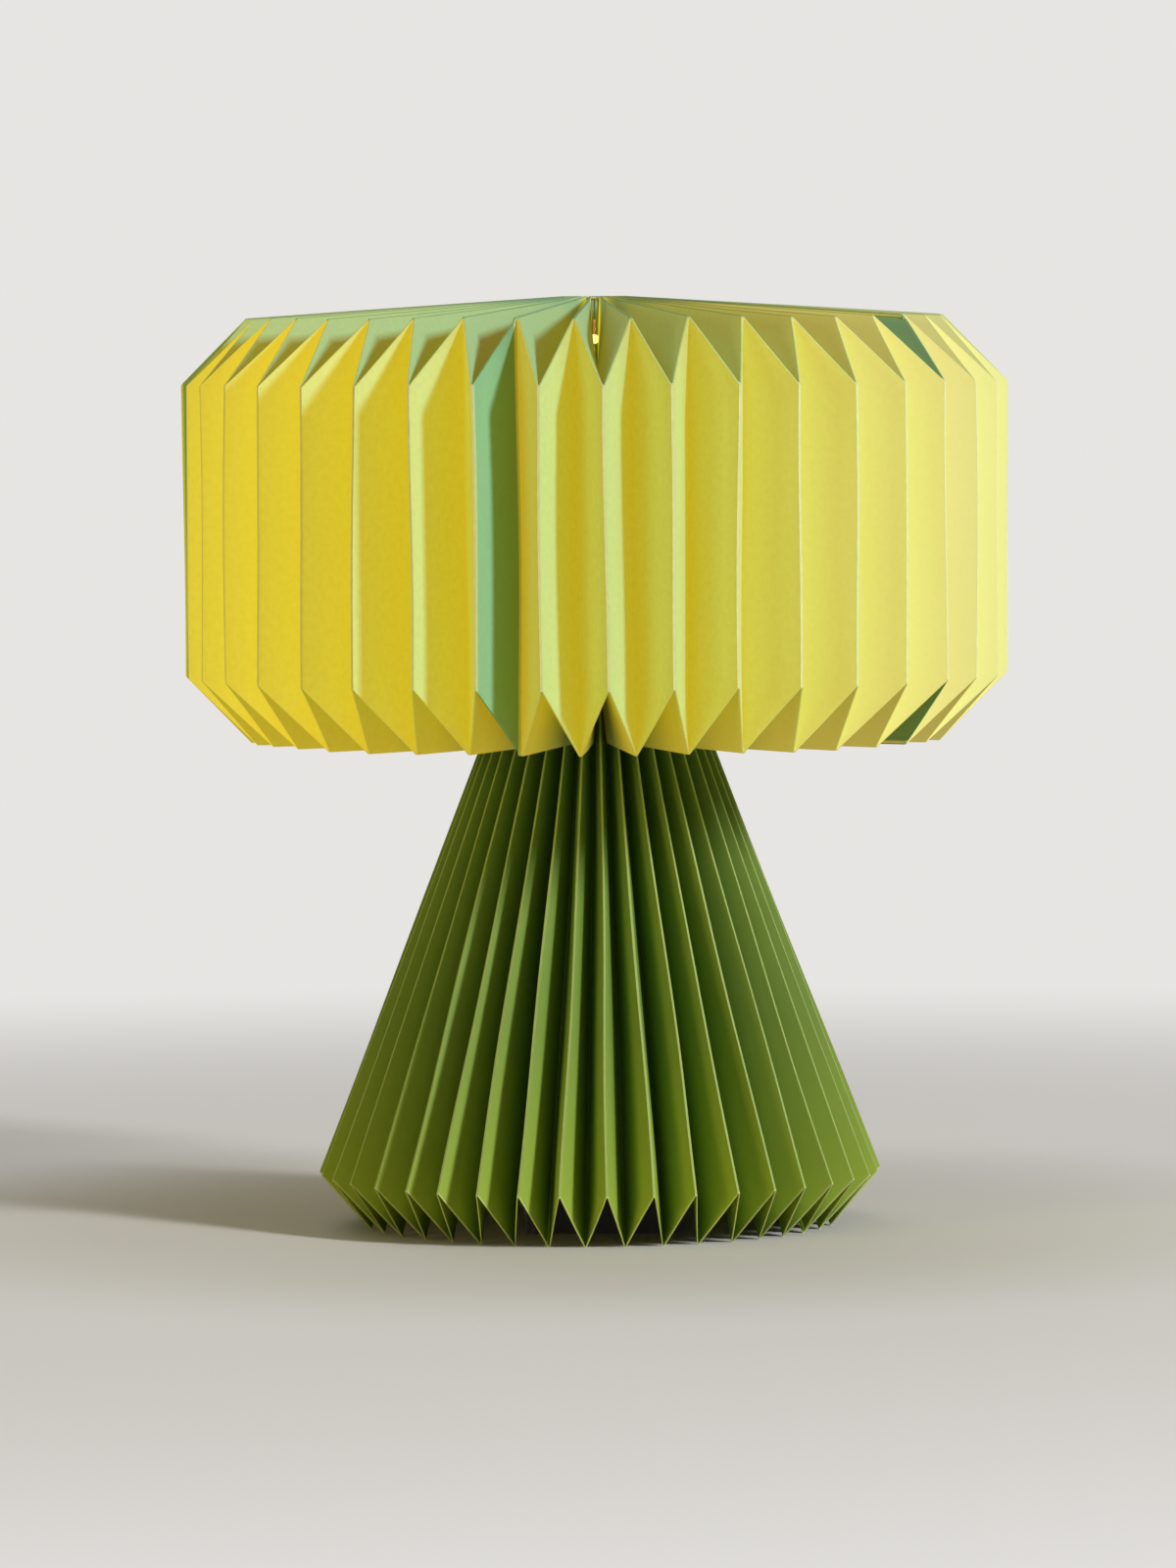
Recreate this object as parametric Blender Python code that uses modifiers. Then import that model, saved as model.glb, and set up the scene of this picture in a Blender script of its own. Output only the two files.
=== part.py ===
# Fold-out accordion paper lantern: a pleated drum shade on a pleated conical base,
# lit from inside by a string of small lamps that runs from a battery case in the base.
# Metres, +Z up. The origin is on the table, under the lantern's axis.

import math

import bmesh
import bpy
from mathutils import Matrix, Vector

# Pleats: each sheet of paper carries the same number, and both tiers are in step
SHEETS = 5
PLEATS_PER_SHEET = 8
FIRST_FOLD_AZIMUTH = math.radians(-90.0)
SEAM_PLEAT = 22
PANEL_WIDTH = 0.0223

# Paper
PAPER = 0.0004
GAP = 0.0003
WALL_FOLD = 0.0008
TIGHT_FOLD = 0.0005

# Shade
SHADE_RADIUS = 0.133
SHADE_WALL_BOTTOM = 0.1775
SHADE_WALL_HEIGHT = 0.0948
ROOF_RISE = 0.0066
ROOF_HOLE_RADIUS = 0.010
LEVEL_STEPS = 2
NECK_CLEARANCE = 0.0024

# Base
BASE_RADIUS = 0.0904
BASE_FOLD_BOTTOM = 0.0169
BASE_SLOPE = 0.383
BASE_TOP = 0.180
BASE_FOOT_RADIUS = 0.0758
FOOT_FLAT = 0.0004

# Laps between neighbouring sheets, and the inward fins of the seam that opens
LAP_INSET = 0.0030
LAP_THROAT_INSET = 0.0150
LAP_TRIM = 0.0036
TAB_INSET = 0.0050
FIN_GAP = 0.0006
FIN_DEPTH = 0.0140
FIN_INSET = 0.0240

# Closing magnets
MAGNET_RADIUS = 0.0040
MAGNET_THICKNESS = 0.0015
SHADE_MAGNET_INSET = 0.0380
BASE_MAGNET_HEIGHT = 0.0500

# Gathering threads
THREAD_RADIUS = 0.00025
THREAD_STEPS = 36
THREAD_SIDES = 4

# Battery case
CELL_RADIUS = 0.00705
CELL_LENGTH = 0.0495
CELL_NUB_RADIUS = 0.0027
CELL_NUB_LENGTH = 0.0010
CELL_PITCH = 0.0150
CELLS = 3
CASE_WALL = 0.0018
CASE_FLOOR = 0.0018
CASE_ROOF = 0.0016
CASE_CORNER = 0.0025
CONTACT_THICKNESS = 0.0005
CONTACT_WIDTH = 0.0110
CONTACT_HEIGHT = 0.0100
SPRING_LENGTH = 0.0036
SPRING_WIRE_RADIUS = 0.00035
SPRING_TURNS = 3
SPRING_POINTS_PER_TURN = 9
SPRING_WIDE = 0.0046
SPRING_NARROW = 0.0026
BOARD_BAY_LENGTH = 0.0112
BOARD_LENGTH = 0.0260
BOARD_WIDTH = 0.0090
BOARD_THICKNESS = 0.0012
DOOR_THICKNESS = 0.0012
DOOR_TONGUE = 0.0010
DOOR_RIDGES = 4
DOOR_RIDGE_PITCH = 0.0028
DOOR_RIDGE = 0.0010

# Slide switch
SWITCH_LENGTH = 0.0044
SWITCH_WIDTH = 0.0032
SWITCH_CAP = 0.0014
SWITCH_HEIGHT = 0.0018
SWITCH_TRAVEL = 0.0030

# Lamp string
WIRE_RADIUS = 0.0005
WIRE_HOLE_RADIUS = 0.0010
WIRE_EXIT_X = 0.0120
WIRE_EXIT_Z = 0.0075
RELIEF_RADIUS = 0.0020
RELIEF_LENGTH = 0.0080
COIL_RADIUS = 0.0260
COIL_FLOOR_GAP = 0.0205
COIL_ROOF_GAP = 0.0123
COIL_TURNS = 2
COIL_POINTS_PER_TURN = 24
COIL_LAMPS = 8
LAMP_RADIUS = 0.0016
TOP_LAMP_DROP = 0.0064
WIRE_END_DROP = 0.0073
WIRE_STRAIGHT = 0.0130
ROUTE_STEPS = 3

# The wire's way from the case to the coil, and from the coil to its straight end:
# shares of the exit's offset, the base's inside radius and the base's height,
# then of the coil's radius, twice, and of the rise to the next stretch
RISE_SHARES = (
    (0.83, 0.78, 0.117),
    (0.58, 0.67, 0.250),
    (0.25, 0.44, 0.470),
    (0.00, 0.16, 0.722),
    (0.00, 0.00, 0.917),
)
LEAD_IN_SHARES = ((0.31, -0.31, 0.33), (0.77, -0.42, 0.78))
LEAD_OUT_SHARES = ((0.69, 0.42, 0.20), (0.15, 0.23, 0.58))

# Facets of round pieces
ROUND_SIDES = 24
HOLE_SIDES = 16

MINT = (0.42, 0.72, 0.50)
GREEN = (0.13, 0.33, 0.10)
STEEL = (0.62, 0.62, 0.60)
IVORY = (0.80, 0.78, 0.70)
CHARCOAL = (0.05, 0.05, 0.05)
BOARD_GREEN = (0.03, 0.18, 0.08)
COPPER = (0.72, 0.45, 0.25)
WARM_GLOW = (1.00, 0.78, 0.35)
CELL_GREY = (0.25, 0.26, 0.28)

PLEATS = SHEETS * PLEATS_PER_SHEET
PITCH = math.tau / PLEATS


def start_collection(name):
    collection = bpy.data.collections.new(name)
    bpy.context.scene.collection.children.link(collection)
    return collection


def make_material(name, colour, roughness, metallic=0.0):
    material = bpy.data.materials.new(name)
    material.use_nodes = True
    shader = material.node_tree.nodes["Principled BSDF"]
    shader.inputs["Base Color"].default_value = (*colour, 1.0)
    shader.inputs["Roughness"].default_value = roughness
    shader.inputs["Metallic"].default_value = metallic
    return material


def add_object(name, data, material, collection):
    obj = bpy.data.objects.new(name, data)
    collection.objects.link(obj)
    data.materials.append(material)
    return obj


def mesh_object(name, shape, material, collection):
    mesh = bpy.data.meshes.new(name)
    bmesh.ops.recalc_face_normals(shape, faces=shape.faces)
    shape.to_mesh(mesh)
    shape.free()
    return add_object(name, mesh, material, collection)


def box_object(name, low, high, material, collection):
    size = Vector(high) - Vector(low)
    centre = (Vector(high) + Vector(low)) / 2
    shape = bmesh.new()
    place = Matrix.Translation(centre) @ Matrix.Diagonal((*size, 1.0))
    bmesh.ops.create_cube(shape, size=1.0, matrix=place)
    return mesh_object(name, shape, material, collection)


def cylinder_object(name, radius, length, place, sides, material, collection):
    shape = bmesh.new()
    bmesh.ops.create_cone(
        shape, cap_ends=True, segments=sides, radius1=radius, radius2=radius, depth=length
    )
    obj = mesh_object(name, shape, material, collection)
    obj.data.shade_smooth()
    obj.data.set_sharp_from_angle(angle=math.radians(40.0))
    obj.matrix_world = place
    return obj


def as_cutter(obj):
    obj.hide_render = True
    obj.display_type = "WIRE"
    return obj


def add_boolean(obj, other, operation):
    modifier = obj.modifiers.new(operation.title(), "BOOLEAN")
    modifier.operation = operation
    modifier.object = other
    modifier.solver = "EXACT"


# Pleated sheets

def panel_rise(radius):
    # Height between a fold and its neighbour where a level run of pleats has this radius
    across = 2 * radius * math.sin(PITCH / 4)
    return math.sqrt(PANEL_WIDTH**2 - across**2)


def inner_radius(radius):
    # Radius of the valley folds between mountain folds of this radius
    across = radius * math.sin(PITCH / 2)
    return radius * math.cos(PITCH / 2) - math.sqrt(PANEL_WIDTH**2 - across**2)


def mitre_height():
    # The crease where a pleat turns a corner is developable at this height above the wall
    return SHADE_RADIUS - inner_radius(SHADE_RADIUS) * math.cos(PITCH / 2)


def base_fold_radius(height):
    return BASE_RADIUS - BASE_SLOPE * (height - BASE_FOLD_BOTTOM)


def base_valley_radius(height):
    # Valley folds and mountain folds of the cone meet in one point, so that every panel is flat
    apex = BASE_FOLD_BOTTOM + BASE_RADIUS / BASE_SLOPE
    return BASE_FOOT_RADIUS * (apex - height) / apex


def level_run(inner, outer):
    # Points along a fold that crosses the roof or the floor of the shade
    points = []
    for step in range(LEVEL_STEPS + 1):
        share = step / LEVEL_STEPS
        radius = inner[0] + (outer[0] - inner[0]) * share
        height = inner[1] + (outer[1] - inner[1]) * share
        points.append((radius, height))
    return points


def shade_path(radius, neck, wall_bottom, wall_top, hole):
    # Neck to hole along one fold, with the two corners blunted like the folds themselves
    blunt = WALL_FOLD
    floor_run = level_run(neck, (radius - blunt, wall_bottom))
    roof_run = level_run(hole, (radius - blunt, wall_top))
    wall = [(radius, wall_bottom + blunt), (radius, wall_top - blunt)]
    return floor_run + wall + roof_run[::-1]


def shade_heights():
    wall_top = SHADE_WALL_BOTTOM + SHADE_WALL_HEIGHT
    eaves = wall_top + mitre_height()
    return {
        "floor": SHADE_WALL_BOTTOM - mitre_height(),
        "wall_top": wall_top,
        "eaves": eaves,
        "crown": eaves + ROOF_RISE,
    }


def shade_profiles():
    # The path of a mountain fold and of a valley fold, from the neck round to the roof hole
    heights = shade_heights()
    neck_valley = base_valley_radius(heights["floor"]) + NECK_CLEARANCE
    neck_top = heights["floor"] + panel_rise(neck_valley)
    neck_mountain = base_fold_radius(neck_top) + NECK_CLEARANCE
    trough = heights["crown"] - panel_rise(ROOF_HOLE_RADIUS)
    mountain_path = shade_path(
        SHADE_RADIUS,
        (neck_mountain, neck_top),
        SHADE_WALL_BOTTOM,
        heights["wall_top"],
        (ROOF_HOLE_RADIUS, trough),
    )
    valley_path = shade_path(
        inner_radius(SHADE_RADIUS),
        (neck_valley, heights["floor"]),
        heights["floor"],
        heights["eaves"],
        (ROOF_HOLE_RADIUS, heights["crown"]),
    )
    return mountain_path, valley_path


def base_profiles():
    mountain_path = (
        (base_fold_radius(BASE_FOLD_BOTTOM), BASE_FOLD_BOTTOM),
        (base_fold_radius(BASE_TOP), BASE_TOP),
    )
    valley_path = (
        (base_valley_radius(-FOOT_FLAT), -FOOT_FLAT),
        (base_valley_radius(BASE_TOP), BASE_TOP),
    )
    return mountain_path, valley_path


def fold_half_width(radius):
    share = radius / SHADE_RADIUS
    return (TIGHT_FOLD + (WALL_FOLD - TIGHT_FOLD) * share) / 2


def polar(radius, azimuth, sideways, height):
    return Vector(
        (
            radius * math.cos(azimuth) - sideways * math.sin(azimuth),
            radius * math.sin(azimuth) + sideways * math.cos(azimuth),
            height,
        )
    )


def fold_column(path, azimuth, side):
    # One of the two edges of a blunt fold
    return [polar(r, azimuth, side * fold_half_width(r), z) for r, z in path]


def flat_column(path, azimuth, sideways):
    return [polar(r, azimuth, sideways, z) for r, z in path]


def between(first, last, share):
    return [a.lerp(b, share) for a, b in zip(first, last)]


def lap_column(path, azimuth, drop, weights):
    # The left edge of the fold that starts a sheet, let down under the sheet before it
    column = []
    for (r, z), weight in zip(path, weights):
        sideways = -fold_half_width(r) - drop * weight
        column.append(polar(r, azimuth, sideways, z))
    return column


def add_tab(shape, end, outline):
    # A flat tab along a sheet's end, stopped short of the corners where the pleats fold back
    foot, head = end
    low_out, high_out = outline
    height = (head.co - foot.co).length
    low = bmesh.utils.edge_split(shape.edges.get((foot, head)), foot, TAB_INSET / height)[1]
    rest = (head.co - low.co).length
    high = bmesh.utils.edge_split(shape.edges.get((low, head)), head, TAB_INSET / rest)[1]
    upward = (high_out - low_out).normalized() * TAB_INSET
    outer_low = shape.verts.new(low_out + upward)
    outer_high = shape.verts.new(high_out - upward)
    shape.faces.new((outer_low, low, high, outer_high))


def pleated_sheet(name, index, tier, material, collection):
    mountain_path, valley_path = tier["paths"]
    wall = tier["wall"]
    first_pleat = SEAM_PLEAT + 1 + index * PLEATS_PER_SHEET
    start = FIRST_FOLD_AZIMUTH + (first_pleat - 0.5) * PITCH
    at_seam_start = index == 0
    at_seam_end = index == SHEETS - 1
    fin_offset = (PAPER + FIN_GAP) / 2
    lap_drop = PAPER + 2 * GAP

    if at_seam_start:
        columns = [flat_column(valley_path, start, fin_offset)]
        tab = flat_column(tier["fin_edge"], start, fin_offset)
    else:
        columns = [
            lap_column(valley_path, start, lap_drop, tier["lap_weights"]),
            fold_column(valley_path, start, 1),
        ]
        before = fold_column(mountain_path, start - PITCH / 2, 1)[wall]
        panel_end = fold_column(valley_path, start, -1)[wall]
        under = polar(0.0, start, -lap_drop, 0.0)
        tab = []
        for fold, edge, inset in zip(before, panel_end, tier["lap_insets"]):
            tab.append(fold.lerp(edge, inset / PANEL_WIDTH) + under)

    for pleat in range(PLEATS_PER_SHEET):
        mountain = start + (pleat + 0.5) * PITCH
        valley = start + (pleat + 1) * PITCH
        columns.append(fold_column(mountain_path, mountain, -1))
        columns.append(fold_column(mountain_path, mountain, 1))
        if pleat < PLEATS_PER_SHEET - 1:
            columns.append(fold_column(valley_path, valley, -1))
            columns.append(fold_column(valley_path, valley, 1))
    finish = start + PLEATS_PER_SHEET * PITCH
    if at_seam_end:
        columns.append(flat_column(valley_path, finish, -fin_offset))
        end_tab = flat_column(tier["fin_edge"], finish, -fin_offset)
    else:
        panel_end = fold_column(valley_path, finish, -1)
        columns.append(between(columns[-1], panel_end, 1 - LAP_TRIM / PANEL_WIDTH))

    shape = bmesh.new()
    grid = [[shape.verts.new(point) for point in column] for column in columns]
    for left, right in zip(grid, grid[1:]):
        for row in range(len(left) - 1):
            shape.faces.new((left[row], right[row], right[row + 1], left[row + 1]))
    add_tab(shape, grid[0][wall], tab)
    if at_seam_end:
        add_tab(shape, grid[-1][wall], end_tab)

    bmesh.ops.triangulate(shape, faces=shape.faces)
    sheet = mesh_object(name, shape, material, collection)
    thickness = sheet.modifiers.new("Paper", "SOLIDIFY")
    thickness.solidify_mode = "NON_MANIFOLD"
    thickness.nonmanifold_thickness_mode = "CONSTRAINTS"
    thickness.thickness = PAPER
    thickness.offset = 0.0
    return sheet


def add_shade(material, collection):
    heights = shade_heights()
    fin_radius = inner_radius(SHADE_RADIUS) - FIN_DEPTH
    easing = [step / LEVEL_STEPS for step in range(LEVEL_STEPS + 1)]
    tier = {
        "paths": shade_profiles(),
        "wall": slice(LEVEL_STEPS + 1, LEVEL_STEPS + 3),
        "lap_weights": easing + [1.0, 1.0] + easing[::-1],
        "lap_insets": (LAP_INSET, LAP_INSET),
        "fin_edge": (
            (fin_radius, heights["floor"] + FIN_INSET),
            (fin_radius, heights["eaves"] - FIN_INSET),
        ),
    }
    for index in range(SHEETS):
        pleated_sheet(f"shade_sheet_{index + 1}", index, tier, material, collection)


def add_base(material, collection, cutters):
    fin_low = BASE_MAGNET_HEIGHT - FIN_INSET
    fin_high = BASE_MAGNET_HEIGHT + FIN_INSET
    tier = {
        "paths": base_profiles(),
        "wall": slice(0, 2),
        "lap_weights": (1.0, 1.0),
        "lap_insets": (LAP_INSET, LAP_THROAT_INSET),
        "fin_edge": (
            (base_valley_radius(fin_low) - FIN_DEPTH, fin_low),
            (base_valley_radius(fin_high) - FIN_DEPTH, fin_high),
        ),
    }
    reach = BASE_RADIUS + PANEL_WIDTH
    table = box_object(
        "table_plane", (-reach, -reach, -PANEL_WIDTH), (reach, reach, 0.0), material, cutters
    )
    as_cutter(table)
    for index in range(SHEETS):
        sheet = pleated_sheet(f"base_sheet_{index + 1}", index, tier, material, collection)
        add_boolean(sheet, table, "DIFFERENCE")


# Closure

def add_magnets(material, collection):
    seam = FIRST_FOLD_AZIMUTH + (SEAM_PLEAT + 0.5) * PITCH
    heights = shade_heights()
    shade_radius = inner_radius(SHADE_RADIUS) - FIN_DEPTH / 2
    base_radius = base_valley_radius(BASE_MAGNET_HEIGHT) - FIN_DEPTH / 2
    places = (
        ("upper", shade_radius, heights["eaves"] - SHADE_MAGNET_INSET),
        ("lower", shade_radius, heights["floor"] + SHADE_MAGNET_INSET),
        ("base", base_radius, BASE_MAGNET_HEIGHT),
    )
    stand_off = FIN_GAP / 2 + PAPER + GAP + MAGNET_THICKNESS / 2
    fold_axis = bpy.data.objects.new("fold_axis", None)
    collection.objects.link(fold_axis)
    for where, radius, height in places:
        for side, sideways in (("fixed", stand_off), ("closing", -stand_off)):
            centre = polar(radius, seam, sideways, height)
            turn = Matrix.Rotation(seam, 4, "Z") @ Matrix.Rotation(math.pi / 2, 4, "X")
            magnet = cylinder_object(
                f"{where}_magnet_{side}",
                MAGNET_RADIUS,
                MAGNET_THICKNESS,
                Matrix.Translation(centre) @ turn,
                ROUND_SIDES,
                material,
                collection,
            )
            if side == "closing":
                magnet.parent = fold_axis


def add_thread(name, radius, height, material, collection):
    bpy.ops.mesh.primitive_torus_add(
        major_radius=radius,
        minor_radius=THREAD_RADIUS,
        major_segments=THREAD_STEPS,
        minor_segments=THREAD_SIDES,
        location=(0.0, 0.0, height),
    )
    thread = bpy.context.object
    thread.name = name
    thread.data.name = name
    for held in thread.users_collection:
        held.objects.unlink(thread)
    collection.objects.link(thread)
    thread.data.materials.append(material)
    thread.data.shade_smooth()


def add_threads(material, collection):
    crown = shade_heights()["crown"]
    add_thread(
        "top_gather_thread",
        ROOF_HOLE_RADIUS - GAP - THREAD_RADIUS,
        crown - PAPER,
        material,
        collection,
    )
    add_thread(
        "neck_gather_thread",
        base_valley_radius(BASE_TOP) - PAPER - GAP - THREAD_RADIUS,
        BASE_TOP - PAPER,
        material,
        collection,
    )


# Battery case

def case_sizes():
    bay_width = CELLS * CELL_PITCH
    contact_stack = GAP + CONTACT_THICKNESS + GAP
    cell_bay = 2 * contact_stack + SPRING_LENGTH + GAP + CELL_LENGTH + CELL_NUB_LENGTH
    length = CASE_WALL + cell_bay + CASE_WALL + BOARD_BAY_LENGTH + CASE_WALL
    tray = CASE_FLOOR + GAP + 2 * CELL_RADIUS + GAP
    groove = DOOR_THICKNESS + 2 * GAP
    front = -length / 2
    return {
        "half_bay": bay_width / 2,
        "half_width": bay_width / 2 + CASE_WALL,
        "front": front,
        "bay_start": front + CASE_WALL,
        "bay_end": front + CASE_WALL + cell_bay,
        "board_start": front + 2 * CASE_WALL + cell_bay,
        "board_end": front + 2 * CASE_WALL + cell_bay + BOARD_BAY_LENGTH,
        "back": -front,
        "tray": tray,
        "groove_top": tray + groove,
        "top": tray + groove + CASE_ROOF,
    }


def cut_box(target, name, low, high, material, cutters):
    cutter = as_cutter(box_object(name, low, high, material, cutters))
    add_boolean(target, cutter, "DIFFERENCE")


def add_case(sizes, material, collection, cutters):
    half = sizes["half_width"]
    case = box_object(
        "battery_case",
        (-half, sizes["front"], 0.0),
        (half, sizes["back"], sizes["top"]),
        material,
        collection,
    )
    corners = case.modifiers.new("Corners", "BEVEL")
    corners.width = CASE_CORNER
    corners.segments = 3
    corners.limit_method = "WEIGHT"
    weights = case.data.attributes.new("bevel_weight_edge", "FLOAT", "EDGE")
    for edge in case.data.edges:
        first, last = [case.data.vertices[i].co for i in edge.vertices]
        upright = abs(first.z - last.z) > CASE_FLOOR
        weights.data[edge.index].value = 1.0 if upright else 0.0

    beyond = CASE_CORNER
    lip = DOOR_TONGUE
    cut_box(
        case,
        "cell_bay_cutter",
        (-sizes["half_bay"], sizes["bay_start"], CASE_FLOOR),
        (sizes["half_bay"], sizes["bay_end"], sizes["tray"] + beyond),
        material,
        cutters,
    )
    cut_box(
        case,
        "door_groove_cutter",
        (-sizes["half_bay"] - lip, sizes["front"] - beyond, sizes["tray"]),
        (sizes["half_bay"] + lip, sizes["bay_end"], sizes["groove_top"]),
        material,
        cutters,
    )
    cut_box(
        case,
        "door_mouth_cutter",
        (-sizes["half_bay"], sizes["front"] - beyond, sizes["tray"]),
        (sizes["half_bay"], sizes["bay_end"], sizes["top"] + beyond),
        material,
        cutters,
    )
    cut_box(
        case,
        "board_bay_cutter",
        (-sizes["half_bay"], sizes["board_start"], CASE_FLOOR),
        (sizes["half_bay"], sizes["board_end"], sizes["groove_top"]),
        material,
        cutters,
    )
    slot_half_length = SWITCH_LENGTH / 2 + SWITCH_TRAVEL + GAP
    slot_half_width = SWITCH_WIDTH / 2 + GAP
    middle = (sizes["board_start"] + sizes["board_end"]) / 2
    cut_box(
        case,
        "switch_slot_cutter",
        (-slot_half_length, middle - slot_half_width, sizes["groove_top"] - beyond),
        (slot_half_length, middle + slot_half_width, sizes["top"] + beyond),
        material,
        cutters,
    )
    wall_middle = (sizes["board_end"] + sizes["back"]) / 2
    hole = cylinder_object(
        "wire_hole_cutter",
        WIRE_HOLE_RADIUS,
        4 * CASE_WALL,
        Matrix.Translation((WIRE_EXIT_X, wall_middle, WIRE_EXIT_Z))
        @ Matrix.Rotation(math.pi / 2, 4, "X"),
        HOLE_SIDES,
        material,
        cutters,
    )
    add_boolean(case, as_cutter(hole), "DIFFERENCE")


def add_door(sizes, material, collection, cutters):
    half_tongue = sizes["half_bay"] + DOOR_TONGUE - GAP
    half_pad = sizes["half_bay"] - GAP
    front = sizes["front"]
    back = sizes["bay_end"] - GAP
    low = sizes["tray"] + GAP
    door = box_object(
        "battery_door",
        (-half_tongue, front, low),
        (half_tongue, back, low + DOOR_THICKNESS),
        material,
        collection,
    )
    pad = box_object(
        "door_pad", (-half_pad, front, low), (half_pad, back, sizes["top"]), material, cutters
    )
    add_boolean(door, as_cutter(pad), "UNION")
    for ridge in range(DOOR_RIDGES):
        y = front + CASE_CORNER + (ridge + 1) * DOOR_RIDGE_PITCH
        low_corner = (-half_pad / 2, y - DOOR_RIDGE / 2, sizes["top"] - DOOR_RIDGE)
        high_corner = (half_pad / 2, y + DOOR_RIDGE / 2, sizes["top"] + DOOR_RIDGE / 2)
        bar = box_object(f"door_ridge_{ridge + 1}", low_corner, high_corner, material, cutters)
        add_boolean(door, as_cutter(bar), "UNION")


def cell_end(sizes, end):
    # Where the contact plate stands at the front (-1) or back (1) of the cell bay
    wall = sizes["bay_start"] if end < 0 else sizes["bay_end"]
    return wall - end * (GAP + CONTACT_THICKNESS / 2)


def add_cells(sizes, materials, collection):
    height = CASE_FLOOR + GAP + CELL_RADIUS
    for cell in range(CELLS):
        x = (cell - (CELLS - 1) / 2) * CELL_PITCH
        nub_end = -1 if cell % 2 == 0 else 1
        plate = cell_end(sizes, nub_end)
        tip = plate - nub_end * (CONTACT_THICKNESS / 2 + GAP)
        add_cell(f"battery_{cell + 1}", x, tip, nub_end, height, materials["cell"], collection)
        coil_start = cell_end(sizes, -nub_end) + nub_end * (CONTACT_THICKNESS / 2 + GAP)
        add_spring(
            f"contact_spring_{cell + 1}",
            Vector((x, coil_start, height)),
            nub_end,
            materials["steel"],
            collection,
        )


def add_cell(name, x, tip, nub_end, height, material, collection):
    # A turned cell: nub, shoulder and can, laid along Y
    outline = (
        (0.0, 0.0),
        (CELL_NUB_RADIUS, 0.0),
        (CELL_NUB_RADIUS, -CELL_NUB_LENGTH),
        (CELL_RADIUS, -CELL_NUB_LENGTH),
        (CELL_RADIUS, -CELL_NUB_LENGTH - CELL_LENGTH),
        (0.0, -CELL_NUB_LENGTH - CELL_LENGTH),
    )
    shape = bmesh.new()
    points = [shape.verts.new((radius, 0.0, z)) for radius, z in outline]
    for first, last in zip(points, points[1:]):
        shape.edges.new((first, last))
    mesh = bpy.data.meshes.new(name)
    shape.to_mesh(mesh)
    shape.free()
    cell = add_object(name, mesh, material, collection)
    turn = cell.modifiers.new("Turn", "SCREW")
    turn.steps = ROUND_SIDES
    turn.render_steps = ROUND_SIDES
    turn.use_merge_vertices = True
    turn.merge_threshold = 0.0001
    tilt = Matrix.Rotation(-nub_end * math.pi / 2, 4, "X")
    cell.matrix_world = Matrix.Translation((x, tip, height)) @ tilt


def poly_tube(name, points, radius, resolution, material, collection):
    curve = bpy.data.curves.new(name, "CURVE")
    curve.dimensions = "3D"
    curve.bevel_depth = radius
    curve.bevel_resolution = resolution
    curve.use_fill_caps = True
    spline = curve.splines.new("POLY")
    spline.points.add(len(points) - 1)
    for target, point in zip(spline.points, points):
        target.co = (*point, 1.0)
    return add_object(name, curve, material, collection)


def add_spring(name, foot, direction, material, collection):
    points = []
    steps = SPRING_TURNS * SPRING_POINTS_PER_TURN
    travel = SPRING_LENGTH - 2 * SPRING_WIRE_RADIUS
    for step in range(steps + 1):
        share = step / steps
        turn = share * SPRING_TURNS * math.tau
        radius = SPRING_WIDE + (SPRING_NARROW - SPRING_WIDE) * share
        along = SPRING_WIRE_RADIUS + travel * share
        offset = Vector((radius * math.cos(turn), direction * along, radius * math.sin(turn)))
        points.append(foot + offset)
    poly_tube(name, points, SPRING_WIRE_RADIUS, 1, material, collection)


def add_contacts(sizes, material, collection):
    # At each end one plate serves a single cell and one links the other two
    height = CASE_FLOOR + GAP + CELL_RADIUS
    half_height = CONTACT_HEIGHT / 2
    plates = (
        ("contact_plate_front", -1, 2, 2),
        ("contact_link_front", -1, 0, 1),
        ("contact_plate_back", 1, 0, 0),
        ("contact_link_back", 1, 1, 2),
    )
    for name, end, first, last in plates:
        left = (first - (CELLS - 1) / 2) * CELL_PITCH - CONTACT_WIDTH / 2
        right = (last - (CELLS - 1) / 2) * CELL_PITCH + CONTACT_WIDTH / 2
        y = cell_end(sizes, end)
        half = CONTACT_THICKNESS / 2
        box_object(
            name,
            (left, y - half, height - half_height),
            (right, y + half, height + half_height),
            material,
            collection,
        )


def add_board_and_switch(sizes, materials, collection, cutters):
    middle = (sizes["board_start"] + sizes["board_end"]) / 2
    board_low = CASE_FLOOR + GAP
    board_high = board_low + BOARD_THICKNESS
    box_object(
        "timer_board",
        (-BOARD_LENGTH / 2, middle - BOARD_WIDTH / 2, board_low),
        (BOARD_LENGTH / 2, middle + BOARD_WIDTH / 2, board_high),
        materials["board"],
        collection,
    )
    half_length = SWITCH_LENGTH / 2
    half_width = SWITCH_WIDTH / 2
    cap_low = sizes["top"] + GAP
    knob = box_object(
        "switch_knob",
        (-half_length, middle - half_width, board_high + GAP),
        (half_length, middle + half_width, cap_low + SWITCH_HEIGHT),
        materials["dark"],
        collection,
    )
    cap = box_object(
        "switch_cap",
        (-half_length - SWITCH_CAP, middle - half_width - SWITCH_CAP, cap_low),
        (half_length + SWITCH_CAP, middle + half_width + SWITCH_CAP, cap_low + SWITCH_HEIGHT / 2),
        materials["dark"],
        cutters,
    )
    add_boolean(knob, as_cutter(cap), "UNION")


# Lamp string

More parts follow.
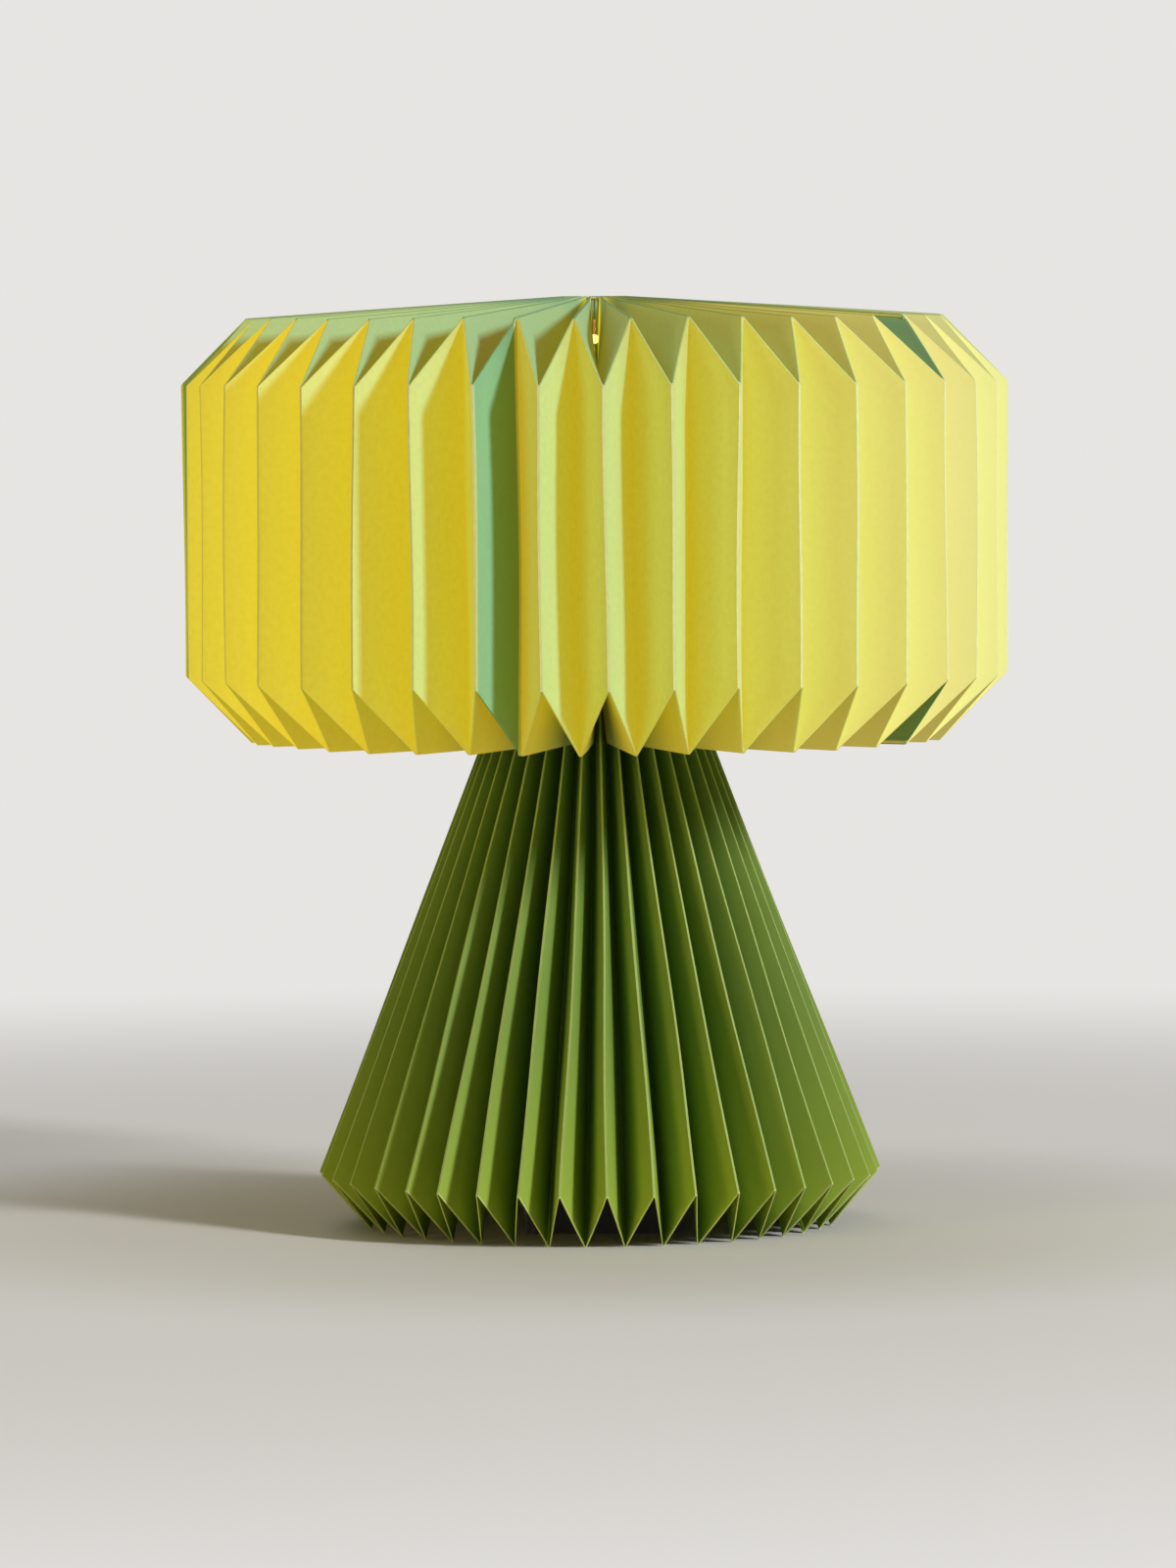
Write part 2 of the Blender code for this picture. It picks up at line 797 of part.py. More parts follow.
def smooth_route(points, steps):
    # A Catmull-Rom curve through the route's own points
    padded = [2 * points[0] - points[1], *points, 2 * points[-1] - points[-2]]
    route = []
    for before, first, last, after in zip(padded, padded[1:], padded[2:], padded[3:]):
        for step in range(steps):
            t = step / steps
            route.append(
                0.5
                * (
                    2 * first
                    + (last - before) * t
                    + (2 * before - 5 * first + 4 * last - after) * t**2
                    + (3 * first - before - 3 * last + after) * t**3
                )
            )
    route.append(points[-1])
    return route


def string_heights():
    heights = shade_heights()
    wire_end = heights["crown"] - WIRE_END_DROP
    return {
        "coil_bottom": SHADE_WALL_BOTTOM + COIL_FLOOR_GAP,
        "coil_top": heights["wall_top"] - COIL_ROOF_GAP,
        "straight": wire_end - WIRE_STRAIGHT,
        "wire_end": wire_end,
    }


def coil_point(turns, heights):
    share = turns / COIL_TURNS
    angle = turns * math.tau
    height = heights["coil_bottom"] + (heights["coil_top"] - heights["coil_bottom"]) * share
    return Vector((COIL_RADIUS * math.cos(angle), COIL_RADIUS * math.sin(angle), height))


def lead_points(shares, low, high):
    return [Vector((COIL_RADIUS * x, COIL_RADIUS * y, low + (high - low) * z)) for x, y, z in shares]


def wire_points(sizes, heights):
    exit_end = sizes["back"] + RELIEF_LENGTH
    rise = [
        Vector((WIRE_EXIT_X, sizes["back"] - CASE_WALL - GAP, WIRE_EXIT_Z)),
        Vector((WIRE_EXIT_X, exit_end, WIRE_EXIT_Z)),
        Vector((WIRE_EXIT_X, exit_end + RELIEF_LENGTH / 2, WIRE_EXIT_Z)),
    ]
    for x, y, z in RISE_SHARES:
        height = BASE_TOP * z
        rise.append(Vector((WIRE_EXIT_X * x, base_valley_radius(height) * y, height)))
    rise += lead_points(LEAD_IN_SHARES, BASE_TOP, heights["coil_bottom"])
    coil = []
    for step in range(COIL_TURNS * COIL_POINTS_PER_TURN + 1):
        coil.append(coil_point(step / COIL_POINTS_PER_TURN, heights))
    top = lead_points(LEAD_OUT_SHARES, heights["coil_top"], heights["straight"])
    top.append(Vector((0.0, 0.0, heights["straight"])))
    top.append(Vector((0.0, 0.0, heights["wire_end"])))
    rising = smooth_route(rise + coil[:1], ROUTE_STEPS)
    falling = smooth_route(coil[-1:] + top, ROUTE_STEPS)
    return rising[:-1] + coil + falling[1:]


def least_gap(points, radius):
    nearest = math.inf
    apart = COIL_POINTS_PER_TURN // 2
    for index, point in enumerate(points):
        for other in points[index + apart :]:
            nearest = min(nearest, (point - other).length)
    return nearest - 2 * radius


def add_lamp(name, centre, material, collection):
    shape = bmesh.new()
    bmesh.ops.create_uvsphere(shape, u_segments=10, v_segments=6, radius=LAMP_RADIUS)
    lamp = mesh_object(name, shape, material, collection)
    lamp.data.shade_smooth()
    lamp.location = centre


def add_lamp_string(sizes, materials, collection, cutters):
    heights = string_heights()
    points = wire_points(sizes, heights)
    poly_tube("lamp_wire", points, WIRE_RADIUS, 2, materials["copper"], collection)
    print(f"lamp wire: least gap to itself {1000 * least_gap(points, WIRE_RADIUS):.2f} mm")

    beside = WIRE_RADIUS + GAP + LAMP_RADIUS
    for lamp in range(COIL_LAMPS):
        turns = COIL_TURNS * (lamp + 0.5) / COIL_LAMPS
        centre = coil_point(turns, heights)
        outward = Vector((centre.x, centre.y, 0.0)).normalized()
        place = centre + beside * outward
        add_lamp(f"lamp_{lamp + 1}", place, materials["lamp"], collection)
    top = Vector((0.0, -beside, heights["wire_end"] - TOP_LAMP_DROP))
    add_lamp(f"lamp_{COIL_LAMPS + 1}", top, materials["lamp"], collection)

    middle = sizes["back"] + GAP + RELIEF_LENGTH / 2
    along = Matrix.Rotation(math.pi / 2, 4, "X")
    place = Matrix.Translation((WIRE_EXIT_X, middle, WIRE_EXIT_Z)) @ along
    length = RELIEF_LENGTH - 2 * GAP
    relief = cylinder_object(
        "strain_relief", RELIEF_RADIUS, length, place, ROUND_SIDES, materials["dark"], collection
    )
    bore = cylinder_object(
        "relief_bore", WIRE_HOLE_RADIUS, 2 * length, place, HOLE_SIDES, materials["dark"], cutters
    )
    add_boolean(relief, as_cutter(bore), "DIFFERENCE")


def main():
    for obj in list(bpy.data.objects):
        bpy.data.objects.remove(obj, do_unlink=True)
    parts = start_collection("Accordion paper lantern")
    cutters = start_collection("Cutters")
    materials = {
        "shade": make_material("shade paper", MINT, 0.85),
        "base": make_material("base paper", GREEN, 0.85),
        "steel": make_material("plated steel", STEEL, 0.3, 1.0),
        "thread": make_material("thread", IVORY, 0.9),
        "case": make_material("case plastic", CHARCOAL, 0.5),
        "dark": make_material("black plastic", CHARCOAL, 0.5),
        "board": make_material("circuit board", BOARD_GREEN, 0.4),
        "copper": make_material("copper wire", COPPER, 0.35, 1.0),
        "lamp": make_material("lamp resin", WARM_GLOW, 0.2),
        "cell": make_material("cell jacket", CELL_GREY, 0.4, 0.5),
    }
    sizes = case_sizes()
    add_shade(materials["shade"], parts)
    add_base(materials["base"], parts, cutters)
    add_magnets(materials["steel"], parts)
    add_threads(materials["thread"], parts)
    add_case(sizes, materials["case"], parts, cutters)
    add_door(sizes, materials["case"], parts, cutters)
    add_cells(sizes, materials, parts)
    add_contacts(sizes, materials["steel"], parts)
    add_board_and_switch(sizes, materials, parts, cutters)
    add_lamp_string(sizes, materials, parts, cutters)


main()
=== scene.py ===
# Accordion paper lantern: its looks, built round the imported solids.
# Metres, +Z up. The lantern's axis is Z, and the photograph is taken from -Y.

import math

import bmesh
import bpy
import numpy as np
from mathutils import Matrix, Vector


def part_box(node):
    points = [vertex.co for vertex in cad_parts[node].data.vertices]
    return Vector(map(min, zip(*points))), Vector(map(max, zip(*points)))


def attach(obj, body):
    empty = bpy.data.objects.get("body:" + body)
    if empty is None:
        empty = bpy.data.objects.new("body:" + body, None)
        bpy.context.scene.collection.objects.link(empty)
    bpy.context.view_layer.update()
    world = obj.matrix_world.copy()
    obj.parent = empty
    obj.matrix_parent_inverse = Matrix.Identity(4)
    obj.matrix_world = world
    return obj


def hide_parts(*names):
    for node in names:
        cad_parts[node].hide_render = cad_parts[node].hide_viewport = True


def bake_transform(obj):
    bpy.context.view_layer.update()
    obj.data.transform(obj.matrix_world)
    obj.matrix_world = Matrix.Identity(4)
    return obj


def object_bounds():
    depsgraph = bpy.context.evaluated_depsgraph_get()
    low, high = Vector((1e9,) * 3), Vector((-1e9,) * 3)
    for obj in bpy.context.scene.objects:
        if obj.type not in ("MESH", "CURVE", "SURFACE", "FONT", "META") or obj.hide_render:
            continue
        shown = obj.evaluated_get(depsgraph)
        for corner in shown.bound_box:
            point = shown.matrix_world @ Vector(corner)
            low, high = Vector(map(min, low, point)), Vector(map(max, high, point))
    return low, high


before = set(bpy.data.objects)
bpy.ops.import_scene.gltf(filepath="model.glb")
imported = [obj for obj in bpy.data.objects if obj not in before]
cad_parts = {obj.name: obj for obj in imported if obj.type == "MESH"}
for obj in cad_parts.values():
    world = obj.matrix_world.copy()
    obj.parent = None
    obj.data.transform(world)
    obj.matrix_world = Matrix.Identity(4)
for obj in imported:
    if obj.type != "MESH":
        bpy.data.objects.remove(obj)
cadLow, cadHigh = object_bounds()
bpy.ops.object.select_all(action="DESELECT")
bpy.context.scene.view_settings.view_transform = "Standard"


# Camera

photoView = {
    "distance": 2.8,
    "height": 0.2981,
    "aside": -0.0030,
    "pitch": math.radians(3.19),
    "roll": math.radians(0.374),
    "turn": math.radians(-1.45),
    "focalPixels": 8854.0,
    "pictureHeight": 1600.0,
    "sensor": 36.0,
}


def addCamera(view):
    stand = Matrix.Translation((view["aside"], -view["distance"], view["height"]))
    tilt = Matrix.Rotation(math.pi / 2 - view["pitch"], 4, "X")
    roll = Matrix.Rotation(-view["roll"], 4, "Z")
    bpy.ops.object.camera_add()
    camera = bpy.context.object
    camera.name = "photoCamera"
    camera.matrix_world = Matrix.Rotation(view["turn"], 4, "Z") @ stand @ tilt @ roll
    camera.data.sensor_fit = "VERTICAL"
    camera.data.sensor_height = view["sensor"]
    camera.data.lens = view["focalPixels"] * view["sensor"] / view["pictureHeight"]
    bpy.context.scene.camera = camera


addCamera(photoView)
print("camera set")


# Node maths: a Wire is one socket of a Paint's node tree

class Wire:
    def __init__(self, paint, socket):
        self.paint = paint
        self.socket = socket

    def maths(self, operation, first, second=0.0):
        return self.paint.add("ShaderNodeMath", {"operation": operation}, {0: first, 1: second})

    def __add__(self, other):
        return self.maths("ADD", self, other)

    def __sub__(self, other):
        return self.maths("SUBTRACT", self, other)

    def __rsub__(self, other):
        return self.maths("SUBTRACT", other, self)

    def __mul__(self, other):
        return self.maths("MULTIPLY", self, other)

    __radd__ = __add__
    __rmul__ = __mul__

    def sine(self):
        return self.maths("SINE", self)

    def larger(self, other):
        return self.maths("MAXIMUM", self, other)

    def rise(self, low, high):
        # 0 below low, 1 above high, smooth between
        sockets = {"Value": self, "From Min": low, "From Max": high}
        return self.paint.add("ShaderNodeMapRange", {"interpolation_type": "SMOOTHSTEP"}, sockets)


class Paint:
    def __init__(self, owner):
        self.owner = owner
        owner.use_nodes = True
        self.tree = owner.node_tree
        self.tree.nodes.clear()

    def add(self, kind, settings=None, sockets=None, out=0):
        node = self.tree.nodes.new(kind)
        for key, value in (settings or {}).items():
            setattr(node, key, value)
        for key, value in (sockets or {}).items():
            if isinstance(value, Wire):
                self.tree.links.new(value.socket, node.inputs[key])
            else:
                node.inputs[key].default_value = value
        return Wire(self, node.outputs[out]) if node.outputs else None

    def place(self):
        return self.add("ShaderNodeTexCoord", out="Object")

    def along(self, vector, axis):
        return self.add("ShaderNodeSeparateXYZ", None, {0: vector}, out=axis)

    def field(self, name):
        return self.add("ShaderNodeAttribute", {"attribute_name": name}, out="Fac")

    def noise(self, vector, scale, detail, roughness):
        sockets = {"Vector": vector, "Scale": scale, "Detail": detail, "Roughness": roughness}
        return self.add("ShaderNodeTexNoise", None, sockets)

    def stretch(self, vector, factors):
        return self.add("ShaderNodeVectorMath", {"operation": "MULTIPLY"}, {0: vector, 1: factors})

    def mix(self, share, first, second):
        settings = {"data_type": "RGBA", "clamp_factor": True}
        return self.add("ShaderNodeMix", settings, {0: share, 6: first, 7: second}, out=2)

    def layers(self, colour, *tops):
        # Each top is a share and a colour, laid over those before it
        for share, top in tops:
            colour = self.mix(share, colour, top)
        return colour

    def bump(self, height, strength, distance):
        sockets = {"Height": height, "Strength": strength, "Distance": distance}
        return self.add("ShaderNodeBump", None, sockets)

    def close(self, sockets):
        shader = self.add("ShaderNodeBsdfPrincipled", None, sockets)
        self.add("ShaderNodeOutputMaterial", None, {"Surface": shader})
        return self.owner


def startPaint(name):
    return Paint(bpy.data.materials.new(name))


def rgb(red, green, blue):
    return (red, green, blue, 1.0)


# In the settings below, a noise is given as its scale, detail and roughness, and an edge as the values
# between which something rises

fineRelief = 0.0001  # depth of the finest bumps


# Mesh helpers

def ramp(value, start, end):
    # 0 at start, 1 at end, straight between
    return np.clip((value - start) / (end - start), 0.0, 1.0)


def angleFrom(azimuth, start):
    return np.angle(np.exp(1j * (azimuth - start)))


def meshPoints(mesh):
    flat = np.empty(3 * len(mesh.vertices), np.float32)
    mesh.vertices.foreach_get("co", flat)
    return flat.reshape(-1, 3).astype(float)


def setPoints(mesh, points):
    mesh.vertices.foreach_set("co", points.astype(np.float32).ravel())
    mesh.update()


def setField(mesh, name, values):
    field = mesh.attributes.new(name, "FLOAT", "POINT")
    field.data.foreach_set("value", np.array(values, np.float32))


def showPiece(name, mesh, material):
    piece = bpy.data.objects.new(name, mesh)
    bpy.context.scene.collection.objects.link(piece)
    mesh.materials.append(material)
    return piece


def pickOnly(piece):
    bpy.ops.object.select_all(action="DESELECT")
    bpy.context.view_layer.objects.active = piece
    piece.select_set(True)


# Twisted strands, for the lamp wire and the gathering threads

spanSteps = 12  # points to a span of the curve, before they are evened out
firstAside = (0.31, 0.22, 0.93)  # any direction that no path starts along


def evenPath(points, spacing):
    # A Catmull-Rom curve through the points, read off at even steps
    points = [np.array(point, float) for point in points]
    padded = [2 * points[0] - points[1], *points, 2 * points[-1] - points[-2]]
    fine = []
    for before, first, last, after in zip(padded, padded[1:], padded[2:], padded[3:]):
        for t in np.linspace(0.0, 1.0, spanSteps, endpoint=False):
            bend = (2 * before - 5 * first + 4 * last - after) * t**2
            turn = (3 * first - before - 3 * last + after) * t**3
            fine.append(0.5 * (2 * first + (last - before) * t + bend + turn))
    fine = np.array(fine + [points[-1]])
    walked = np.concatenate(([0.0], np.cumsum(np.linalg.norm(np.diff(fine, axis=0), axis=1))))
    steps = np.linspace(0.0, walked[-1], max(2, round(walked[-1] / spacing)) + 1)
    return np.stack([np.interp(steps, walked, fine[:, axis]) for axis in range(3)], axis=1), steps


def carriedNormals(path):
    # Each step's sideways directions, carried along the path without twisting
    heading = np.gradient(path, axis=0)
    heading /= np.linalg.norm(heading, axis=1)[:, None]
    side = np.cross(heading[0], firstAside)
    sides = []
    for direction in heading:
        side = side - direction * np.dot(side, direction)
        side = side / np.linalg.norm(side)
        sides.append(side)
    sides = np.array(sides)
    return sides, np.cross(heading, sides)


def twistedStrands(name, points, twine, material):
    path, walked = evenPath(points, twine["spacing"])
    side, over = carriedNormals(path)
    count = twine["sides"]
    around = np.arange(count) * math.tau / count
    verts, faces, field = [], [], []
    for strand in range(twine["strands"]):
        phase = math.tau * (walked / twine["twist"] + strand / twine["strands"])
        apart = np.cos(phase)[:, None] * side + np.sin(phase)[:, None] * over
        centre = path + twine["offset"] * apart
        first = len(verts)
        for step, middle in enumerate(centre):
            ring = np.cos(around)[:, None] * side[step] + np.sin(around)[:, None] * over[step]
            verts += list(middle + twine["strand"] * ring)
            field += [walked[step]] * count
        for step in range(len(path) - 1):
            low = first + step * count
            for corner in range(count):
                after = (corner + 1) % count
                faces.append((low + corner, low + after, low + count + after, low + count + corner))
        faces.append(tuple(range(first, first + count))[::-1])
        faces.append(tuple(range(len(verts) - count, len(verts))))
    mesh = bpy.data.meshes.new(name)
    mesh.from_pydata(verts, [], faces)
    mesh.update()
    setField(mesh, "walked", field)
    mesh.shade_smooth()
    return showPiece(name, mesh, material), path, walked[-1]


# Lamp string: the wire's route repeats the solid's

lampWire = {
    "strands": 2,
    "strand": 0.00025,
    "offset": 0.00025,
    "twist": 0.0065,
    "sides": 6,
    "spacing": 0.0009,
    "diameter": 0.0010,
    "clean": rgb(0.640, 0.300, 0.130),
    "stained": rgb(0.800, 0.470, 0.240),
    "roughness": 0.26,
    "stains": (160.0, 3.0, 0.6),
    "stainEdge": (0.3, 0.7),
    "stainDulls": 0.18,
    "scratches": (2600.0, 2.0, 0.5),
    "scratchRun": (1.0, 1.0, 0.3),
    "bump": 0.15,
    "rise": (
        (0.0120, 0.0345, 0.0075),
        (0.0120, 0.0446, 0.0075),
        (0.0120, 0.0486, 0.0075),
        (0.0100, 0.0542, 0.0211),
        (0.0070, 0.0417, 0.0450),
        (0.0030, 0.0222, 0.0846),
        (0.0000, 0.0059, 0.1300),
        (0.0000, 0.0000, 0.1651),
        (0.0081, -0.0081, 0.1859),
        (0.0200, -0.0109, 0.1940),
    ),
    "coilRadius": 0.0260,
    "coilBottom": 0.1980,
    "coilTop": 0.2600,
    "coilTurns": 2,
    "coilSteps": 24,
    "end": (
        (0.0179, 0.0109, 0.2638),
        (0.0039, 0.0060, 0.2710),
        (0.0000, 0.0000, 0.2790),
        (0.0000, 0.0000, 0.2920),
    ),
}

lamp = {
    "count": 9,
    "coilCount": 8,
    "radius": 0.0016,
    "segments": 20,
    "rings": 12,
    "shoulder": (-0.45, -0.30, 0.82),
    "tip": (-0.80, -0.45, 0.60),
    "core": rgb(1.000, 0.800, 0.330),
    "rim": rgb(0.950, 0.560, 0.060),
    "roughness": 0.12,
    "coat": 0.5,
    "glow": 1.0,
    "clouds": (900.0, 2.0, 0.5),
    "cloudShare": 0.3,
    "rimEdge": (0.1, 0.9),
    "thinBy": 1.6,
}


def metalMaterial(name, finish):
    paint = startPaint(name)
    place = paint.place()
    stains = paint.noise(place, *finish["stains"])
    scratches = paint.noise(paint.stretch(place, finish["scratchRun"]), *finish["scratches"])
    return paint.close({
        "Base Color": paint.mix(stains.rise(*finish["stainEdge"]), finish["clean"], finish["stained"]),
        "Roughness": finish["roughness"] + stains * finish["stainDulls"],
        "Metallic": 1.0,
        "Normal": paint.bump(scratches, finish["bump"], fineRelief),
    })


def lampMaterial(finish):
    # Lit resin: palest in the body of the drop, deeper where it thins onto the wire
    paint = startPaint("litResin")
    thin = paint.field("thin")
    clouds = paint.noise(paint.place(), *finish["clouds"])
    tone = (thin + (clouds - 0.5) * finish["cloudShare"]).rise(*finish["rimEdge"])
    colour = paint.mix(tone, finish["core"], finish["rim"])
    return paint.close({
        "Base Color": colour,
        "Roughness": finish["roughness"],
        "Emission Color": colour,
        "Emission Strength": finish["glow"],
        "Coat Weight": finish["coat"],
    })


def coilPoint(turns):
    angle = turns * math.tau
    share = turns / lampWire["coilTurns"]
    height = lampWire["coilBottom"] + (lampWire["coilTop"] - lampWire["coilBottom"]) * share
    return (lampWire["coilRadius"] * math.cos(angle), lampWire["coilRadius"] * math.sin(angle), height)


def wireRoute():
    coil = []
    for step in range(lampWire["coilTurns"] * lampWire["coilSteps"] + 1):
        coil.append(coilPoint(step / lampWire["coilSteps"]))
    return [*lampWire["rise"], *coil, *lampWire["end"]]


def addLampWire():
    copper = metalMaterial("enamelledCopper", lampWire)
    piece, path, length = twistedStrands("lampWire", wireRoute(), lampWire, copper)
    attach(piece, "lantern")
    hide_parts("lamp_wire")
    print("lamp wire: %.3f m" % length)


def pullCap(drop, share, move, narrow):
    # The cap of the drop below a share of its radius goes down and draws in
    bpy.ops.mesh.select_all(action="DESELECT")
    cage = bmesh.from_edit_mesh(drop.data)
    for vert in cage.verts:
        vert.select = vert.co.z < share * lamp["radius"]
    cage.select_flush_mode()
    bmesh.update_edit_mesh(drop.data)
    bpy.ops.transform.translate(value=(0.0, 0.0, move * lamp["radius"]))
    bpy.ops.transform.resize(value=(narrow, narrow, 1.0), center_override=(0.0, 0.0, 0.0))


def modelDrop():
    bpy.ops.mesh.primitive_uv_sphere_add(
        segments=lamp["segments"], ring_count=lamp["rings"], radius=lamp["radius"]
    )
    drop = bpy.context.object
    bpy.ops.object.mode_set(mode="EDIT")
    bpy.ops.mesh.select_mode(type="VERT")
    pullCap(drop, *lamp["shoulder"])
    pullCap(drop, *lamp["tip"])
    bpy.ops.object.mode_set(mode="OBJECT")
    heights = meshPoints(drop.data)[:, 2] / lamp["radius"]
    setField(drop.data, "thin", ramp(-heights, 0.0, lamp["thinBy"]))
    smooth = drop.modifiers.new("Smooth", "SUBSURF")
    smooth.levels = 1
    bpy.ops.object.modifier_apply(modifier="Smooth")
    drop.data.shade_smooth()
    return drop


def addLamps():
    drop = modelDrop()
    material = lampMaterial(lamp)
    for index in range(lamp["count"]):
        node = "lamp_%d" % (index + 1)
        low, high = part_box(node)
        middle = (Vector(low) + Vector(high)) / 2
        if index < lamp["coilCount"]:
            outward = Vector((middle.x, middle.y, 0.0))
        else:
            outward = Vector((0.0, -1.0, 0.0))
        mesh = drop.data.copy()
        turn = outward.to_track_quat("Z", "Y").to_matrix().to_4x4()
        mesh.transform(Matrix.Translation(middle) @ turn)
        piece = showPiece("lampDrop%d" % (index + 1), mesh, material)
        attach(piece, "lantern")
        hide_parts(node)
    bpy.data.objects.remove(drop)
    print("%d lamps set on the wire" % lamp["count"])


addLampWire()
addLamps()


# Paper finishes

shadePaper = {
    "mint": rgb(0.215, 0.490, 0.300),
    "mintDeep": rgb(0.195, 0.455, 0.270),
    # mountain folds: worn pale, and lightened further as a painted highlight
    "mintWornHighlight": rgb(0.720, 0.780, 0.500),
    "mintShade": rgb(0.070, 0.200, 0.120),
    "cutEdge": rgb(0.820, 0.780, 0.560),
    "glowDeep": rgb(0.395, 0.232, 0.001),
    "glowPale": rgb(0.475, 0.300, 0.006),
    "glowWarm": rgb(0.490, 0.272, 0.004),
    # the glow is painted towards this colour at the right
    "glowLitRight": rgb(0.440, 0.268, 0.062),
    "glowStrength": 1.0,
    "mostGlow": 2.0,
    "warmEdge": (0.9, 2.1),
    "roughness": 0.78,
    "fibreDulls": 0.12,
    "specular": 0.25,
    "bump": 0.22,
    "clouds": (480.0, 4.0, 0.6),
    "cloudEdge": (0.25, 0.75),
    "cloudShare": 0.45,
    "fibreShare": 0.55,
    "foldLine": 0.00025,
    "foldWornHighlight": 0.5,
    "fibreWornHighlight": 0.5,
    "foldDims": 0.65,
    "creaseLine": 0.00040,
    "creaseShare": 0.7,
    "creaseDims": 0.6,
    "underShare": 0.6,
    # painted shade in the inner folds
    "innerWidth": 0.020,
    "innerShare": 0.52,
    "innerUntil": 0.3,
}

basePaper = {
    "green": rgb(0.210, 0.352, 0.045),
    "greenDeep": rgb(0.189, 0.325, 0.039),
    # Painted light near the outer folds and at the foot, and painted shade in the inner folds
    "outer": rgb(0.262, 0.362, 0.105),
    "outerLitWidth": 0.016,
    "foot": rgb(0.360, 0.488, 0.060),
    "inner": rgb(0.024, 0.092, 0.003),
    "innerWidth": 0.0145,
    # mountain folds: worn pale, and lightened further as a painted highlight
    "worn": rgb(0.460, 0.590, 0.230),
    "cutEdge": rgb(0.620, 0.720, 0.360),
    "roughness": 0.72,
    "fibreDulls": 0.14,
    "specular": 0.3,
    "bump": 0.2,
    "clouds": (60.0, 4.0, 0.6),
    "cloudEdge": (0.3, 0.7),
    "outerLitShare": 0.4,
    "footLitShare": 0.8,
    "innerShare": 0.82,
    "foldLine": 0.00025,
    "foldWornHighlight": 0.35,
    "fibreWornHighlight": 0.6,
}

paperFelt = {
    "fibres": (900.0, 3.0, 0.6),
    "fibreRun": (1.0, 0.28, 1.0),
    "fibreHeight": 0.7,
    "specks": (2340.0, 2.0, 0.5),
    "speckHeight": 0.3,
    "relief": 0.0002,
}


def paperGrain(paint, finish):
    # Soft clouds in the sheet, fibres that lie along it, and the relief of both fibres and specks
    sheet = paint.add("ShaderNodeUVMap", {"uv_map": "sheet"})
    clouds = paint.noise(sheet, *finish["clouds"])
    fibres = paint.noise(paint.stretch(sheet, paperFelt["fibreRun"]), *paperFelt["fibres"])
    specks = paint.noise(sheet, *paperFelt["specks"])
    height = fibres * paperFelt["fibreHeight"] + specks * paperFelt["speckHeight"]
    return clouds, fibres, paint.bump(height, finish["bump"], paperFelt["relief"])


def nearFold(paint, fold, width):
    return 1.0 - paint.field(fold).rise(0.0, width)


def closePaper(paint, finish, colour, fibres, relief, emission):
    return paint.close({
        "Base Color": colour,
        "Roughness": finish["roughness"] + (fibres - 0.5) * finish["fibreDulls"],
        "Specular IOR Level": finish["specular"],
        "Normal": relief,
        **emission,
    })


def shadePaperMaterial(finish):
    paint = startPaint("shadePaper")
    clouds, fibres, relief = paperGrain(paint, finish)
    roof, cream = paint.field("roof"), paint.field("cream")
    onMountain = nearFold(paint, "mountain", finish["foldLine"])
    crease = nearFold(paint, "valley", finish["creaseLine"]) * roof
    tone = clouds.rise(*finish["cloudEdge"]) * finish["cloudShare"] + fibres * finish["fibreShare"]

    # The paper, with painted shade in its inner folds (less of it towards the right), in the roof's
    # creases and underneath
    inside = nearFold(paint, "valley", finish["innerWidth"]) * (1.0 - roof)
    inside = inside * (1.0 - cream.rise(0.0, finish["innerUntil"]))
    # The mountain folds are worn pale, and lightened further as a painted highlight
    worn = finish["foldWornHighlight"] + fibres * finish["fibreWornHighlight"]
    colour = paint.layers(
        finish["mintDeep"],
        (tone, finish["mint"]),
        (inside * finish["innerShare"], finish["mintShade"]),
        (onMountain * worn, finish["mintWornHighlight"]),
        (crease * finish["creaseShare"], finish["mintShade"]),
        (paint.field("low") * finish["underShare"], finish["mintShade"]),
        (paint.field("cutEdge"), finish["cutEdge"]),
    )

    # The lamps' light through the paper, painted on as a glow: warmer where there is more of it, and
    # painted paler at the right
    light = paint.field("glow")
    glow = paint.layers(
        finish["glowDeep"],
        (tone, finish["glowPale"]),
        (light.rise(*finish["warmEdge"]), finish["glowWarm"]),
        (cream, finish["glowLitRight"]),
    )
    lit = light * (1.0 - onMountain * finish["foldDims"]) * (1.0 - crease * finish["creaseDims"])
    most = finish["mostGlow"]
    glow = paint.mix(lit * (1 / most), rgb(0.0, 0.0, 0.0), paint.stretch(glow, (most, most, most)))
    emission = {"Emission Color": glow, "Emission Strength": finish["glowStrength"]}
    return closePaper(paint, finish, colour, fibres, relief, emission)


def basePaperMaterial(finish):
    paint = startPaint("basePaper")
    clouds, fibres, relief = paperGrain(paint, finish)
    # Painted light and shade: paler and greyer near the outer folds, paler towards the foot as if lit
    # from the table, and dark in the inner folds
    litOutside = nearFold(paint, "mountain", finish["outerLitWidth"])
    inside = nearFold(paint, "valley", finish["innerWidth"])
    # The mountain folds are worn pale, and lightened further as a painted highlight
    onMountain = nearFold(paint, "mountain", finish["foldLine"])
    worn = finish["foldWornHighlight"] + fibres * finish["fibreWornHighlight"]
    colour = paint.layers(
        finish["greenDeep"],
        (clouds.rise(*finish["cloudEdge"]), finish["green"]),
        (litOutside * finish["outerLitShare"], finish["outer"]),
        (paint.field("low") * finish["footLitShare"], finish["foot"]),
        (inside * finish["innerShare"], finish["inner"]),
        (onMountain * worn, finish["worn"]),
        (paint.field("cutEdge"), finish["cutEdge"]),
    )
    return closePaper(paint, finish, colour, fibres, relief, {})


# Pleats

